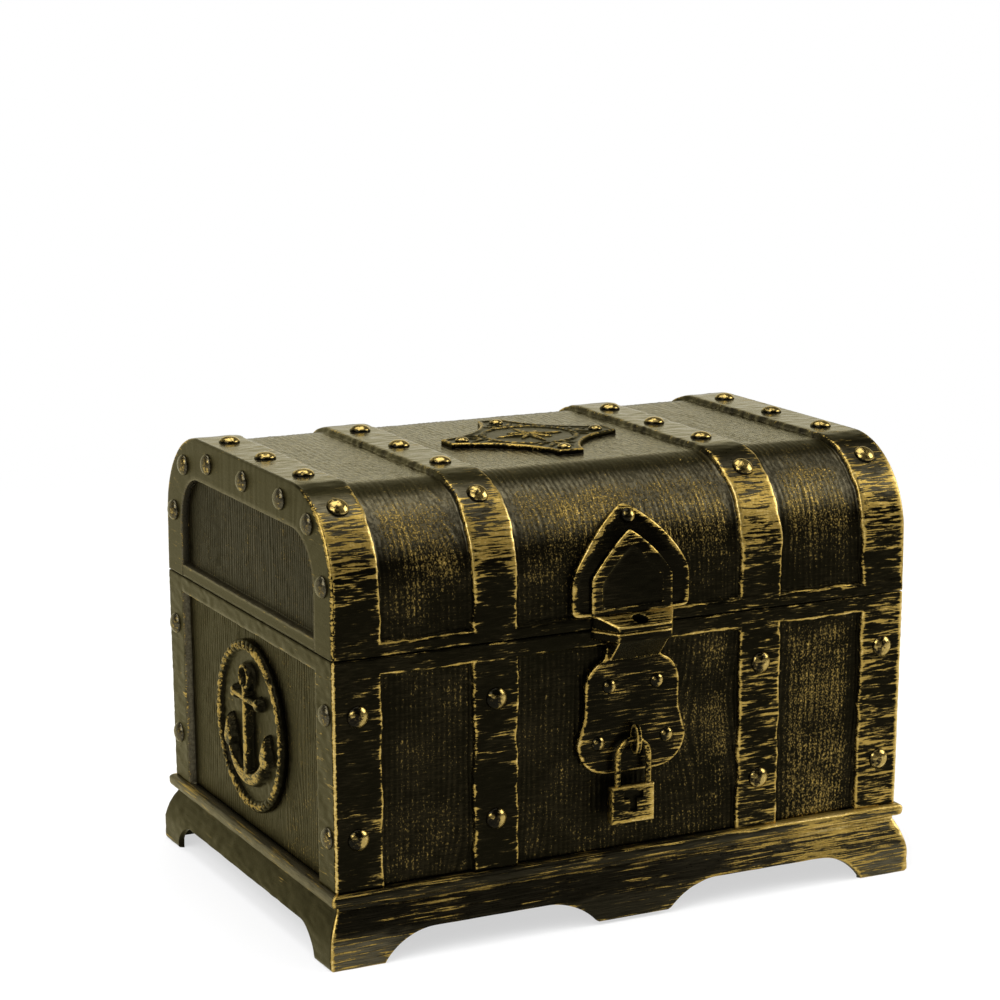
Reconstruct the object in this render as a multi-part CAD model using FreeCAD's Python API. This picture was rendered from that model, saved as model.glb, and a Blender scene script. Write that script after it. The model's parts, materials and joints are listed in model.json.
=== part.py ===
"""Treasure chest box: a drafted box on a bracket-foot plinth, a hinged lid with round shoulders, raised
straps, stud heads, a hasp over a catch, a lock plate and a small hanging padlock. Millimetres, +Z up, front
towards -Y, origin on the floor under the middle of the box."""
import FreeCAD
import Part
import math
import os
from FreeCAD import Placement, Rotation, Vector

# Box and lid
body_width = 155.0
body_depth = 107.2
parting_height = 72.8
lid_height = 37.4
lid_corner_radius = 23.0
body_draft = 0.5
wall = 2.0
corner_round = 0.9
rim_chamfer = 0.6
lid_gap = 0.3

# Straps, rails and panels
strap_rise = 1.3
end_recess = 1.8
inner_strap_offset = 36.0
inner_strap_width = 11.6
end_strap_width = 12.3
end_frame_width = 10.6
body_rail = 4.3
lid_rim = 3.1

# Plinth
plinth_height = 17.6
bead_height = 1.9
bead_overhang = 0.6
groove_inset = 0.5
groove_height = 1.7
flare_height = 8.0
flare_bulge = 0.4
foot_overhang = 2.1
foot_chamfer = 0.4
foot_width = 13.4
foot_depth = 10.0
apron_height = 7.2
front_foot_run = 13.0
side_foot_run = 9.0
drop_half_width = 10.0
drop_run = 13.6
drop_clearance = 1.0
plinth_wall = 2.4
plinth_web = 4.0
spigot_ledge = 3.0
spigot_depth = 2.4
spigot_clearance = 0.2

# Hinges
hinge_length = 22.0
lid_knuckle_length = 9.2
knuckle_radius = 2.8
knuckle_gap = 0.3
hinge_gap = 0.25
pin_radius = 1.1
pin_clearance = 0.05
pin_end = 0.4
gusset_drop = 2.2
heel_reach = 4.0
stop_clearance = 0.3
lid_open_angle = 108.0

# Stud heads
stud_radius = 2.7
stud_rise = 1.5
upper_stud_drop = 9.1
lower_stud_rise = 12.5
end_strap_stud_inset = 6.2
frame_stud_inset = 4.8
top_stud_spacing = 23.7
curve_stud_angle = 55.0
hoop_stud_angles = (6.0, 57.0)
small_stud_radius = 1.8
small_stud_rise = 1.0
stud_sides = 10
stud_ring_shares = (1.0, 0.6, 0.2)

# Lid lock plate and hasp
arch_half_width = 15.6
arch_shoulder = 10.5
arch_point_height = 25.3
arch_thickness = 1.9
hasp_half_width = 10.3
hasp_shoulder = 9.5
hasp_point_drop = 5.1
hasp_thickness = 0.8
arch_fullness = 0.15
hasp_fullness = 0.04
hasp_stud_drop = 2.3
tongue_reach = 6.8
tongue_root_half_width = 11.2
tongue_tip_half_width = 7.1
tongue_tip_height = 1.3
hasp_hole_radius = 1.9
hasp_hole_wall = 1.0

# Lock plate and catch
plate_thickness = 2.0
plate_top_gap = 0.2
plate_neck_half_width = 7.4
plate_neck_drop = 3.3
plate_lobe_half_width = 12.7
plate_lobe_drop = 8.7
plate_waist_drop = 4.5
plate_hip_half_width = 14.5
plate_hip_drop = 6.0
plate_foot_half_width = 7.0
plate_foot_drop = 9.0
plate_bow = 0.2
plate_upper_stud_offset = 6.45
plate_upper_stud_rise = 2.2
plate_lower_stud_offset = 9.3
plate_lower_stud_drop = 1.1
catch_thickness = 2.2
neck_toe = 1.4

# Staple and padlock
staple_drop = 0.6
staple_width = 2.1
staple_rim = 1.55
staple_standoff = 1.9
shackle_wire_radius = 0.75
shackle_sides = 8
shackle_play = 0.8
shackle_half_width = 4.15
padlock_hang_offset = -0.8
case_half_width = 6.2
case_thickness = 2.6
case_drop = 11.1
case_height = 9.2
case_chamfer = 0.5
shackle_seat = 2.5
shackle_fit = 0.05
keyhole_half_width = 2.6
keyhole_bar_height = 1.8
keyhole_stem_half_width = 0.9
keyhole_length = 4.9
keyhole_depth = 1.0
keyhole_drop = 1.4

# Relief on the ends and on the lid
emblem_top_gap = 2.8
emblem_foot_gap = 5.1
medallion_relief = 0.8
medallion_sides = 28
small_disc_sides = 10
wreath_width = 3.0
wreath_relief = 2.2
anchor_relief = 3.0
shank_half_width = 1.5
shank_top = 10.0
crown_drop = 15.0
crown_thickness = 4.0
arm_reach = 11.6
arm_tip_drop = 4.5
arm_tip_thickness = 2.0
fluke_length = 5.4
fluke_half_width = 2.9
stock_height = 7.2
stock_half_length = 7.6
stock_half_height = 1.1
stock_ball_radius = 1.9
ring_radius = 2.7
ring_half_width = 0.9
badge_point = 23.0
badge_scoop = 4.0
badge_tip_half_width = 3.2
badge_thickness = 1.0
badge_stud_inset = 4.2
star_point = 12.5
star_short_point = 7.5
star_waist = 3.0
star_rise = 0.9

# Places that follow from the sizes above
half_width = body_width / 2
half_depth = body_depth / 2
lid_bottom = parting_height + lid_gap
lid_top = lid_bottom + lid_height
shoulder_height = lid_top - lid_corner_radius
shoulder_depth = half_depth - lid_corner_radius
panel_top = lid_top - strap_rise
rim_top = lid_bottom + lid_rim
rail_bottom = parting_height - body_rail
plate_neck_foot = rail_bottom - plate_neck_drop
plate_lobe_height = plate_neck_foot - plate_lobe_drop
plate_waist_height = plate_lobe_height - plate_waist_drop
plate_hip_height = plate_waist_height - plate_hip_drop
plate_foot_height = plate_hip_height - plate_foot_drop
staple_height = plate_hip_height - staple_drop
case_top_height = staple_height - case_drop
emblem_top = rail_bottom - emblem_top_gap
emblem_foot = plinth_height + emblem_foot_gap
emblem_height = (emblem_top + emblem_foot) / 2
emblem_radius = (emblem_top - emblem_foot) / 2
hinge_y = half_depth + hinge_gap + knuckle_radius
hinge_z = parting_height + lid_gap / 2
draft_angle = math.degrees(math.atan2(body_draft, parting_height - plinth_height))
reach = body_width + body_depth
touching = 1e-6


def front_plane(y):
    """Maps (u, v) to a point of the upright plane across the front at depth y."""
    return lambda u, v: Vector(u, y, v)


def side_plane(x):
    """Maps (u, v) to a point of the upright plane along the depth at x."""
    return lambda u, v: Vector(x, u, v)


def top_plane(z):
    """Maps (u, v) to a point of the level plane at height z."""
    return lambda u, v: Vector(u, v, z)


def symmetric_face(place, start, runs):
    """Face inside the runs from start on the +u side and their mirror image. A run is the end point of a
    straight stretch, or a (middle, end) pair of points for an arc."""
    edges = []
    here = start
    for run in runs:
        is_arc = isinstance(run[0], tuple)
        stops = run if is_arc else (run,)
        for side in (1, -1):
            points = [place(side * u, v) for u, v in (here,) + tuple(stops)]
            if abs(here[0]) > touching or abs(stops[-1][0]) > touching or side > 0:
                edges.append(Part.Arc(*points).toShape() if is_arc else Part.makeLine(*points))
        here = stops[-1]
    for u, v in (start, here):
        if abs(u) > touching:
            edges.append(Part.makeLine(place(u, v), place(-u, v)))
    return Part.Face(Part.Wire(Part.__sortEdges__(edges)))


def polygon(place, points):
    """Face inside a closed run of straight edges."""
    return Part.Face(Part.makePolygon([place(u, v) for u, v in points + points[:1]]))


def block(x_low, x_high, y_low, y_high, z_low, z_high):
    """Upright box between two corners."""
    return Part.makeBox(x_high - x_low, y_high - y_low, z_high - z_low, Vector(x_low, y_low, z_low))


def through_front(face):
    """Prism of a face in the plane y = -reach, carried back through the whole object."""
    return face.extrude(Vector(0, 2 * reach, 0))


def drafted_half(size, inset, height):
    """Half a width of the box at a height: its walls lean in below the rim."""
    return size / 2 - inset - body_draft * (parting_height - height) / (parting_height - plinth_height)


def drafted_block(end_inset, front_inset, low, high):
    """Box with leaning walls, set in from the outside by one distance at the ends and one at front and
    back."""
    def trapezium(place, size, inset):
        foot = (drafted_half(size, inset, low), low)
        return symmetric_face(place, foot, [(drafted_half(size, inset, high), high)])
    across = through_front(trapezium(front_plane(-reach), body_width, end_inset))
    along = trapezium(side_plane(-reach), body_depth, front_inset).extrude(Vector(2 * reach, 0, 0))
    return across.common(along)


def lid_bar(inset, x_low, x_high, low):
    """Stretch of the lid's cross-section, set in by inset: upright sides, round shoulders and a flat top."""
    half = half_depth - inset
    radius = lid_corner_radius - inset
    lean = radius * math.sqrt(0.5)
    middle = (shoulder_depth + lean, shoulder_height + lean)
    runs = [(half, shoulder_height), (middle, (shoulder_depth, shoulder_height + radius))]
    face = symmetric_face(side_plane(x_low), (half, low), runs)
    return face.extrude(Vector(x_high - x_low, 0, 0))


def strap_boxes(inset, low, high):
    """Boxes over the two inner straps, through the whole depth, narrowed by inset at each edge."""
    half = inner_strap_width / 2 - inset
    centres = (-inner_strap_offset, inner_strap_offset)
    return [block(x - half, x + half, -reach, reach, low, high) for x in centres]


def edge_band(low, high):
    """Slab over the whole plan between two heights."""
    return block(-reach, reach, -reach, reach, low, high)


def hinge_barrel(x_low, x_high, radius):
    """Cylinder on the hinge axis."""
    return Part.makeCylinder(radius, x_high - x_low, Vector(x_low, hinge_y, hinge_z), Vector(1, 0, 0))


def hinge_spans(centre):
    """Stretches along the pin: the fixed knuckle, the lid's knuckle and the other fixed knuckle."""
    half = hinge_length / 2
    mid = lid_knuckle_length / 2
    return [
        (centre - half, centre - mid - knuckle_gap),
        (centre - mid, centre + mid),
        (centre + mid + knuckle_gap, centre + half),
    ]


def knuckle(span, web):
    """Barrel over a span of the pin, joined to its wall by a web with the given outline."""
    plate = polygon(side_plane(span[0]), web).extrude(Vector(span[1] - span[0], 0, 0))
    return hinge_barrel(*span, knuckle_radius).fuse(plate)


def pin_bores(spans):
    """Holes for the pin through the knuckles over the given spans."""
    return [hinge_barrel(low - wall, high + wall, pin_radius + pin_clearance) for low, high in spans]


def make_body():
    """Drafted box, open at the top: panels cut back between straps, rail and corner posts, a spigot
    underneath for the plinth, and fixed knuckles on the back rail."""
    outer = drafted_block(0, 0, plinth_height, parting_height)
    corners = [edge for edge in outer.Edges if abs(edge.tangentAt(edge.FirstParameter).z) > math.sqrt(0.5)]
    outer = outer.makeFillet(corner_round, corners)
    core = drafted_block(end_recess, strap_rise, plinth_height - wall, parting_height + wall)
    frame = strap_boxes(0, 0, parting_height) + [edge_band(rail_bottom, parting_height)]
    for x_side in (-1, 1):
        for y_side in (-1, 1):
            x_ends = sorted((x_side * (half_width - end_strap_width), x_side * reach))
            y_ends = sorted((y_side * (half_depth - end_frame_width), y_side * reach))
            frame.append(block(*x_ends, *y_ends, 0, parting_height))
    pockets = outer.cut(core).cut(frame)
    cavity = drafted_block(end_recess + wall, strap_rise + wall, plinth_height, parting_height + wall)
    body = outer.cut([pockets, cavity])
    x_spigot, y_spigot = spigot_half_sizes()
    low = plinth_height - spigot_depth
    extras = [block(-x_spigot, x_spigot, -y_spigot, y_spigot, low, plinth_height)]
    root = half_depth - strap_rise / 2
    web = [(root, parting_height), (hinge_y, parting_height), (hinge_y, hinge_z - knuckle_radius),
           (root, hinge_z - knuckle_radius - gusset_drop)]
    spans = []
    for side in (-1, 1):
        first, _, last = hinge_spans(side * inner_strap_offset)
        spans += [first, last]
    extras += [knuckle(span, web) for span in spans]
    return body.fuse(extras).removeSplitter().cut(pin_bores(spans))


def spigot_half_sizes():
    """Half sizes of the plug under the box, inside the foot of its leaning walls."""
    inset = body_draft + spigot_ledge
    return half_width - inset, half_depth - inset


def plinth_side(size):
    """Right-hand side of the plinth's outline for one direction, from the floor up to the bead."""
    half = size / 2
    foot_top = plinth_height - bead_height - groove_height - flare_height
    groove_foot = foot_top + flare_height
    bead_foot = groove_foot + groove_height
    bulge = flare_bulge + (foot_overhang - groove_inset) / 2
    bead_middle = bead_foot + bead_height / 2
    start = (half + foot_overhang - foot_chamfer, 0)
    runs = [
        (half + foot_overhang, foot_chamfer),
        (half + foot_overhang, foot_top),
        ((half + bulge, foot_top + flare_height / 2), (half - groove_inset, groove_foot)),
        (half - groove_inset, bead_foot),
        ((half + bead_overhang, bead_middle), (half - groove_inset, plinth_height)),
    ]
    return start, runs


def bracket_cut(place, foot_half, foot_run, inner_runs):
    """Opening under an apron: it rises from the foot in a round cove to the apron's straight lower edge."""
    middle, top = cove((foot_half, 0), (foot_half - foot_run, apron_height))
    return symmetric_face(place, (foot_half, -wall), [(foot_half, 0), (middle, top)] + inner_runs)


def cove(low, high):
    """Middle and end of a round arc from low to high that is level at its high end."""
    run = high[0] - low[0]
    rise = high[1] - low[1]
    radius = (run * run + rise * rise) / (2 * rise)
    half_turn = math.asin(abs(run) / radius) / 2
    sideways = math.copysign(radius * math.sin(half_turn), run)
    return (high[0] - sideways, high[1] - radius * (1 - math.cos(half_turn))), high


def make_plinth():
    """Moulding with mitred corners: two carried outlines, one each way, meet in the plinth. It is hollow
    below, has a seat for the box's spigot above, and bracket feet between cut aprons."""
    across = through_front(symmetric_face(front_plane(-reach), *plinth_side(body_width)))
    along = symmetric_face(side_plane(-reach), *plinth_side(body_depth)).extrude(Vector(2 * reach, 0, 0))
    plinth = across.common(along)
    web_low = plinth_height - plinth_web

    def hollow(place, size):
        foot = (size / 2 + foot_overhang - plinth_wall, -wall)
        knee = (foot[0], web_low - flare_height)
        return symmetric_face(place, foot, [knee, (size / 2 - groove_inset - plinth_wall, web_low)])

    inside = through_front(hollow(front_plane(-reach), body_width)).common(
        hollow(side_plane(-reach), body_depth).extrude(Vector(2 * reach, 0, 0)))
    x_seat, y_seat = (size + spigot_clearance for size in spigot_half_sizes())
    seat = block(-x_seat, x_seat, -y_seat, y_seat, 0, plinth_height + wall)
    foot_half = half_width + foot_overhang - foot_width
    drop_foot = (drop_half_width, drop_clearance)
    drop_middle, drop_top = cove(drop_foot, (drop_half_width + drop_run, apron_height))
    drop = [drop_top, (drop_middle, drop_foot)]
    front = through_front(bracket_cut(front_plane(-reach), foot_half, front_foot_run, drop))
    side_half = half_depth + foot_overhang - foot_depth
    side = bracket_cut(side_plane(-reach), side_half, side_foot_run, [])
    return plinth.cut([inside, seat, front, side.extrude(Vector(2 * reach, 0, 0))])


def make_lid():
    """Round-shouldered shell of even wall: panels cut back between straps, rim and end hoops, channels behind
    the straps inside, and knuckles with stop heels at the back."""
    outer = lid_bar(0, -half_width, half_width, lid_bottom)
    ends = [edge for edge in outer.Edges if abs(abs(edge.CenterOfMass.x) - half_width) < touching]
    rims = [edge for edge in ends if edge.CenterOfMass.z > lid_bottom + touching]
    outer = outer.makeChamfer(rim_chamfer, rims)
    core_end = half_width - end_recess
    core = lid_bar(strap_rise, -core_end, core_end, lid_bottom - wall)
    frame = strap_boxes(0, 0, lid_top) + [edge_band(lid_bottom, rim_top)]
    hollow_end = core_end - wall
    hollow = [lid_bar(strap_rise + wall, -hollow_end, hollow_end, lid_bottom - wall)]
    channel = lid_bar(wall, -hollow_end, hollow_end, lid_bottom - wall)
    channel_zones = strap_boxes(wall, 0, lid_top) + [edge_band(0, rim_top - wall)]
    for side in (-1, 1):
        x_ends = sorted((side * (half_width - end_strap_width), side * reach))
        panel = lid_bar(end_frame_width, -reach, reach, rim_top)
        frame.append(block(*x_ends, -reach, reach, lid_bottom, lid_top).cut(panel))
        channel_ends = sorted((side * (half_width - end_strap_width + wall), side * hollow_end))
        channel_zones.append(block(*channel_ends, -reach, reach, 0, lid_top))
    hollow += [channel.common(zone) for zone in channel_zones]
    pockets = outer.cut(core).cut(frame)
    lid = outer.cut([pockets] + hollow)
    root = half_depth - strap_rise / 2
    crest = hinge_z + knuckle_radius
    web = [(root, lid_bottom), (hinge_y, lid_bottom), (hinge_y, crest), (root, crest)]
    spans = [hinge_spans(side * inner_strap_offset)[1] for side in (-1, 1)]
    extras = [knuckle(span, web) for span in spans] + [stop_heel(span) for span in spans]
    return lid.fuse(extras).removeSplitter().cut(pin_bores(spans))


def stop_heel(span):
    """Lug on the lid's knuckle, drawn where it stands against the back of the box with the lid fully open and
    turned back to the closed lid."""
    face_y = half_depth + stop_clearance
    heel = block(*span, face_y, hinge_y, hinge_z - heel_reach, hinge_z)
    heel.rotate(Vector(0, hinge_y, hinge_z), Vector(1, 0, 0), lid_open_angle)
    return heel


def make_hinge_pin(side):
    """Plain pin a little longer than its knuckles."""
    centre = side * inner_strap_offset
    half = hinge_length / 2 + pin_end
    return hinge_barrel(centre - half, centre + half, pin_radius)


def ring_points(radius, sides, height=0):
    """Corners of a level regular polygon round the z axis."""
    turns = [2 * math.pi * step / sides for step in range(sides)]
    return [Vector(radius * math.cos(turn), radius * math.sin(turn), height) for turn in turns]


def stud(radius, rise):
    """Domed stud head on the plane z = 0: rings of corners on a round cap of the given radius and rise, with
    flat facets between them, because there are many heads."""
    sphere = (radius * radius + rise * rise) / (2 * rise)
    whole_turn = math.asin(radius / sphere)
    rings = []
    for share in stud_ring_shares:
        lean = share * whole_turn
        height = rise - sphere * (1 - math.cos(lean))
        rings.append(ring_points(sphere * math.sin(lean), stud_sides, height))
    faces = [Part.Face(Part.makePolygon(ring + ring[:1])) for ring in (rings[0], rings[-1])]
    for low, high in zip(rings, rings[1:]):
        for step in range(stud_sides):
            following = (step + 1) % stud_sides
            corners = [low[step], low[following], high[following], high[step], low[step]]
            faces.append(Part.Face(Part.makePolygon(corners)))
    return Part.makeSolid(Part.makeShell(faces))


def studs(seats, radius=stud_radius, rise=stud_rise):
    """Group of stud heads, one on each (point, outward direction) seat."""
    heads = []
    for point, outward in seats:
        head = stud(radius, rise)
        head.Placement = Placement(point, Rotation(Vector(0, 0, 1), outward))
        heads.append(head)
    return Part.makeCompound(heads)


def wall_seat(offset, height, inset, facing):
    """Seat on a leaning wall of the box: facing 'front', 'back', 'left' or 'right', at an offset along that
    wall and a height, set in from the strap face by inset."""
    tilt = math.radians(draft_angle)
    if facing in ("front", "back"):
        side = -1 if facing == "front" else 1
        point = Vector(offset, side * drafted_half(body_depth, inset, height), height)
        return point, Vector(0, side * math.cos(tilt), -math.sin(tilt))
    side = -1 if facing == "left" else 1
    point = Vector(side * drafted_half(body_width, inset, height), offset, height)
    return point, Vector(side * math.cos(tilt), 0, -math.sin(tilt))


def strap_stud_columns():
    """Places of the stud columns along the width: two end straps and two inner straps."""
    end = half_width - end_strap_stud_inset
    return [-end, -inner_strap_offset, inner_strap_offset, end]


def make_wall_studs(facing):
    """Stud heads of one wall of the box, in two rows."""
    if facing in ("front", "back"):
        columns = strap_stud_columns()
    else:
        frame_column = half_depth - frame_stud_inset
        columns = [-frame_column, frame_column]
    rows = (plinth_height + lower_stud_rise, rail_bottom - upper_stud_drop)
    return studs([wall_seat(column, row, 0, facing) for column in columns for row in rows])


def shoulder_seat(x, angle, side, outset):
    """Seat on the lid's shoulder at an angle above the level, set out from the strap face by outset."""
    radius = lid_corner_radius + outset
    out = Vector(0, side * math.cos(math.radians(angle)), math.sin(math.radians(angle)))
    return Vector(x, side * shoulder_depth, shoulder_height) + out * radius, out


def make_lid_strap_studs():
    """Three stud heads on each strap's flat top and one on each of its shoulders."""
    seats = []
    for x in strap_stud_columns():
        for step in (-1, 0, 1):
            seats.append((Vector(x, step * top_stud_spacing, lid_top), Vector(0, 0, 1)))
        seats += [shoulder_seat(x, curve_stud_angle, side, 0) for side in (-1, 1)]
    return studs(seats)


def make_lid_end_studs(end):
    """Stud heads along the middle of one end hoop: three on top and two round each shoulder."""
    out = Vector(end, 0, 0)
    inset = -end_frame_width / 2
    seats = [(Vector(end * half_width, step * top_stud_spacing, lid_top + inset), out) for step in (-1, 0, 1)]
    for side in (-1, 1):
        for angle in hoop_stud_angles:
            seats.append((shoulder_seat(end * half_width, angle, side, inset)[0], out))
    return studs(seats)


def pointed_arch(half, shoulder, point, fullness):
    """Prism through the front of a pointed arch that stands on the lid's rim: sides up to the shoulder, then
    curves that bow out by a share of their chord and meet in the point."""
    chord_u, chord_v = -half, point - shoulder
    start = (half, rim_top + shoulder)
    middle = (half + chord_u / 2 + fullness * chord_v, start[1] + chord_v / 2 - fullness * chord_u)
    runs = [start, (middle, (0, rim_top + point))]
    return symmetric_face(front_plane(-reach), (half, rim_top), runs).extrude(Vector(0, reach, 0))


def lid_layer(inner, outer):
    """Skin round the lid between two distances out from the panel face."""
    return lid_bar(strap_rise - outer, -half_width, half_width, rim_top).cut(
        lid_bar(strap_rise - inner, -reach, reach, lid_bottom))


def make_lid_lock_plate():
    """Pointed arch plate laid on the lid's front panel and its shoulder."""
    arch = pointed_arch(arch_half_width, arch_shoulder, arch_point_height, arch_fullness)
    return arch.common(lid_layer(0, arch_thickness))


def tongue_plan(low, high):
    """Upright prism over the tongue's plan: wide at the rim, narrow at the tip."""
    tip = -half_depth - tongue_reach
    root = -half_depth
    back = root + strap_rise + wall
    plan = symmetric_face(top_plane(low), (tongue_tip_half_width, tip),
                          [(tongue_root_half_width, root), (tongue_root_half_width, back)])
    return plan.extrude(Vector(0, 0, high - low))


def hasp_hole():
    """Upright hole through the tongue and the catch."""
    low = parting_height - catch_thickness
    base = Vector(0, -half_depth - tongue_reach + hasp_hole_wall + hasp_hole_radius, low)
    return Part.makeCylinder(hasp_hole_radius, rim_top - low, base)


def make_hasp():
    """Raised arch on the lid's lock plate that turns out at its foot into the tongue."""
    full = arch_thickness + hasp_thickness
    arch = pointed_arch(hasp_half_width, hasp_shoulder, arch_point_height - hasp_point_drop, hasp_fullness)
    arch = arch.common(lid_layer(arch_thickness, full))
    back = -half_depth
    tip = back - tongue_reach
    plate_face = back + strap_rise - arch_thickness
    hasp_face = plate_face - hasp_thickness
    lap = rim_top + hasp_thickness
    side = [(back, lid_bottom), (tip, lid_bottom), (tip, lid_bottom + tongue_tip_height),
            (hasp_face, rim_top), (hasp_face, lap), (plate_face, lap), (plate_face, rim_top), (back, rim_top)]
    tongue = polygon(side_plane(-reach), side).extrude(Vector(2 * reach, 0, 0)).common(
        tongue_plan(lid_bottom, lid_top))
    return arch.fuse(tongue).removeSplitter().cut(hasp_hole())


def make_hasp_stud():
    """Small stud head on the lock plate under the arch's point."""
    outset = arch_thickness - strap_rise
    rise = rim_top + arch_point_height - hasp_stud_drop - shoulder_height
    angle = math.degrees(math.asin(rise / (lid_corner_radius + outset)))
    return studs([shoulder_seat(0, angle, -1, outset)], small_stud_radius, small_stud_rise)


def wall_layer(end_range, front_range):
    """Skin round the box between an inner and an outer distance out from its panel faces."""
    low, high = plinth_height, parting_height
    inner = drafted_block(end_recess - end_range[0], strap_rise - front_range[0], low - wall, high + wall)
    return drafted_block(end_recess - end_range[1], strap_rise - front_range[1], low, high).cut(inner)


def make_lock_plate():
    """Gourd-shaped plate on the front panel, from under the rail to a round foot."""
    neck = (plate_neck_half_width, rail_bottom - plate_top_gap)
    lobe = (plate_lobe_half_width, plate_lobe_height)
    hip = (plate_hip_half_width, plate_hip_height)
    foot = (plate_foot_half_width, plate_foot_height)
    runs = [
        (plate_neck_half_width, plate_neck_foot),
        (swell((plate_neck_half_width, plate_neck_foot), lobe), lobe),
        (plate_lobe_half_width, plate_waist_height),
        hip,
        (swell(hip, foot), foot),
    ]
    face = symmetric_face(front_plane(-reach), neck, runs)
    return face.extrude(Vector(0, reach, 0)).common(wall_layer((0, 0), (0, plate_thickness)))


def swell(start, end):
    """Middle point of an arc from start to end that bows out by a share of its chord."""
    across, down = end[0] - start[0], end[1] - start[1]
    return (start[0] + across / 2 - plate_bow * down, start[1] + down / 2 + plate_bow * across)


def make_catch(plate):
    """Ledge under the hasp tongue on a neck that leans out from the lock plate."""
    ledge_low = parting_height - catch_thickness
    tip = -half_depth - tongue_reach
    ledge = tongue_plan(ledge_low, parting_height)
    root = -half_depth + strap_rise
    side = [(root, ledge_low), (tip, ledge_low), (-half_depth - neck_toe, plate_neck_foot),
            (root, plate_neck_foot)]
    neck_half = min(plate_neck_half_width, tongue_tip_half_width)
    neck = polygon(side_plane(-neck_half), side).extrude(Vector(2 * neck_half, 0, 0))
    solid_box = drafted_block(0, 0, rail_bottom, parting_height + wall)
    panel = drafted_block(0, strap_rise, plinth_height, parting_height)
    return ledge.fuse(neck).cut([solid_box, panel, plate, hasp_hole()]).removeSplitter()


def plate_stud_seats():
    """Seats of the four small stud heads on the lock plate."""
    outset = strap_rise - plate_thickness
    places = [(plate_upper_stud_offset, plate_lobe_height + plate_upper_stud_rise),
              (plate_lower_stud_offset, plate_hip_height - plate_lower_stud_drop)]
    return [wall_seat(side * offset, height, outset, "front") for offset, height in places for side in (-1, 1)]


def staple_axis_y():
    """Depth of the staple's eye, in front of the lock plate's face."""
    face = drafted_half(body_depth, strap_rise - plate_thickness, staple_height)
    return -face - staple_standoff


def make_staple(plate):
    """Narrow upright eye on the lock plate: a round nose with a level hole through it."""
    eye = shackle_wire_radius + shackle_play
    nose = eye + staple_rim
    y = staple_axis_y()
    left = -staple_width / 2
    axis = Vector(left, y, staple_height)
    lug = Part.makeCylinder(nose, staple_width, axis, Vector(1, 0, 0))
    back = y + staple_standoff + plate_thickness / 2
    stem = block(left, -left, y, back, staple_height - nose, staple_height + nose)
    hole = Part.makeCylinder(eye, staple_width, axis, Vector(1, 0, 0))
    return lug.fuse(stem).removeSplitter().cut([hole, plate])


def hung(shape):
    """The padlock's piece, moved sideways to where the shackle hangs in the staple."""
    return shape.translated(Vector(padlock_hang_offset, 0, 0))


def make_padlock_case():
    """Small block with broken upright edges, two sockets for the shackle and a keyhole."""
    front = staple_axis_y() - case_thickness / 2
    low = case_top_height - case_height
    case = block(-case_half_width, case_half_width, front, front + case_thickness, low, case_top_height)
    upright = [edge for edge in case.Edges if abs(edge.tangentAt(edge.FirstParameter).z) > math.sqrt(0.5)]
    case = case.makeChamfer(case_chamfer, upright)
    sockets = []
    for side in (-1, 1):
        mouth = shackle_section(side, shackle_wire_radius + shackle_fit, case_top_height)
        sockets.append(mouth.extrude(Vector(0, 0, -shackle_seat)))
    top = case_top_height - keyhole_drop
    bar = top - keyhole_bar_height
    foot = top - keyhole_length
    keyhole = symmetric_face(front_plane(front), (keyhole_half_width, top), [
        (keyhole_half_width, bar), (keyhole_stem_half_width, bar), (keyhole_stem_half_width, foot)])
    return hung(case.cut(sockets + [keyhole.extrude(Vector(0, keyhole_depth, 0))]))


def shackle_section(side, radius, height):
    """Eight-sided level section of one leg of the shackle, or of its socket, at a height."""
    axis = Vector(side * shackle_half_width, staple_axis_y(), 0)
    corners = ring_points(radius, shackle_sides, height)
    return Part.Face(Part.makePolygon([axis + corner for corner in corners + corners[:1]]))


def make_padlock_shackle():
    """Eight-sided bar bent to a half circle over two straight legs, which end in the case."""
    bend = Vector(0, staple_axis_y(), staple_height - shackle_half_width)
    leg = Vector(0, 0, case_top_height - shackle_seat - bend.z)
    tops = [shackle_section(side, shackle_wire_radius, bend.z) for side in (-1, 1)]
    bow = tops[1].revolve(bend, Vector(0, -1, 0), 180)
    return hung(bow.fuse([top.extrude(leg) for top in tops]).removeSplitter())


def end_prism(face, end):
    """Prism of a face in the plane x = 0, carried out through one end."""
    return face.extrude(Vector(end * reach, 0, 0))


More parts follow.
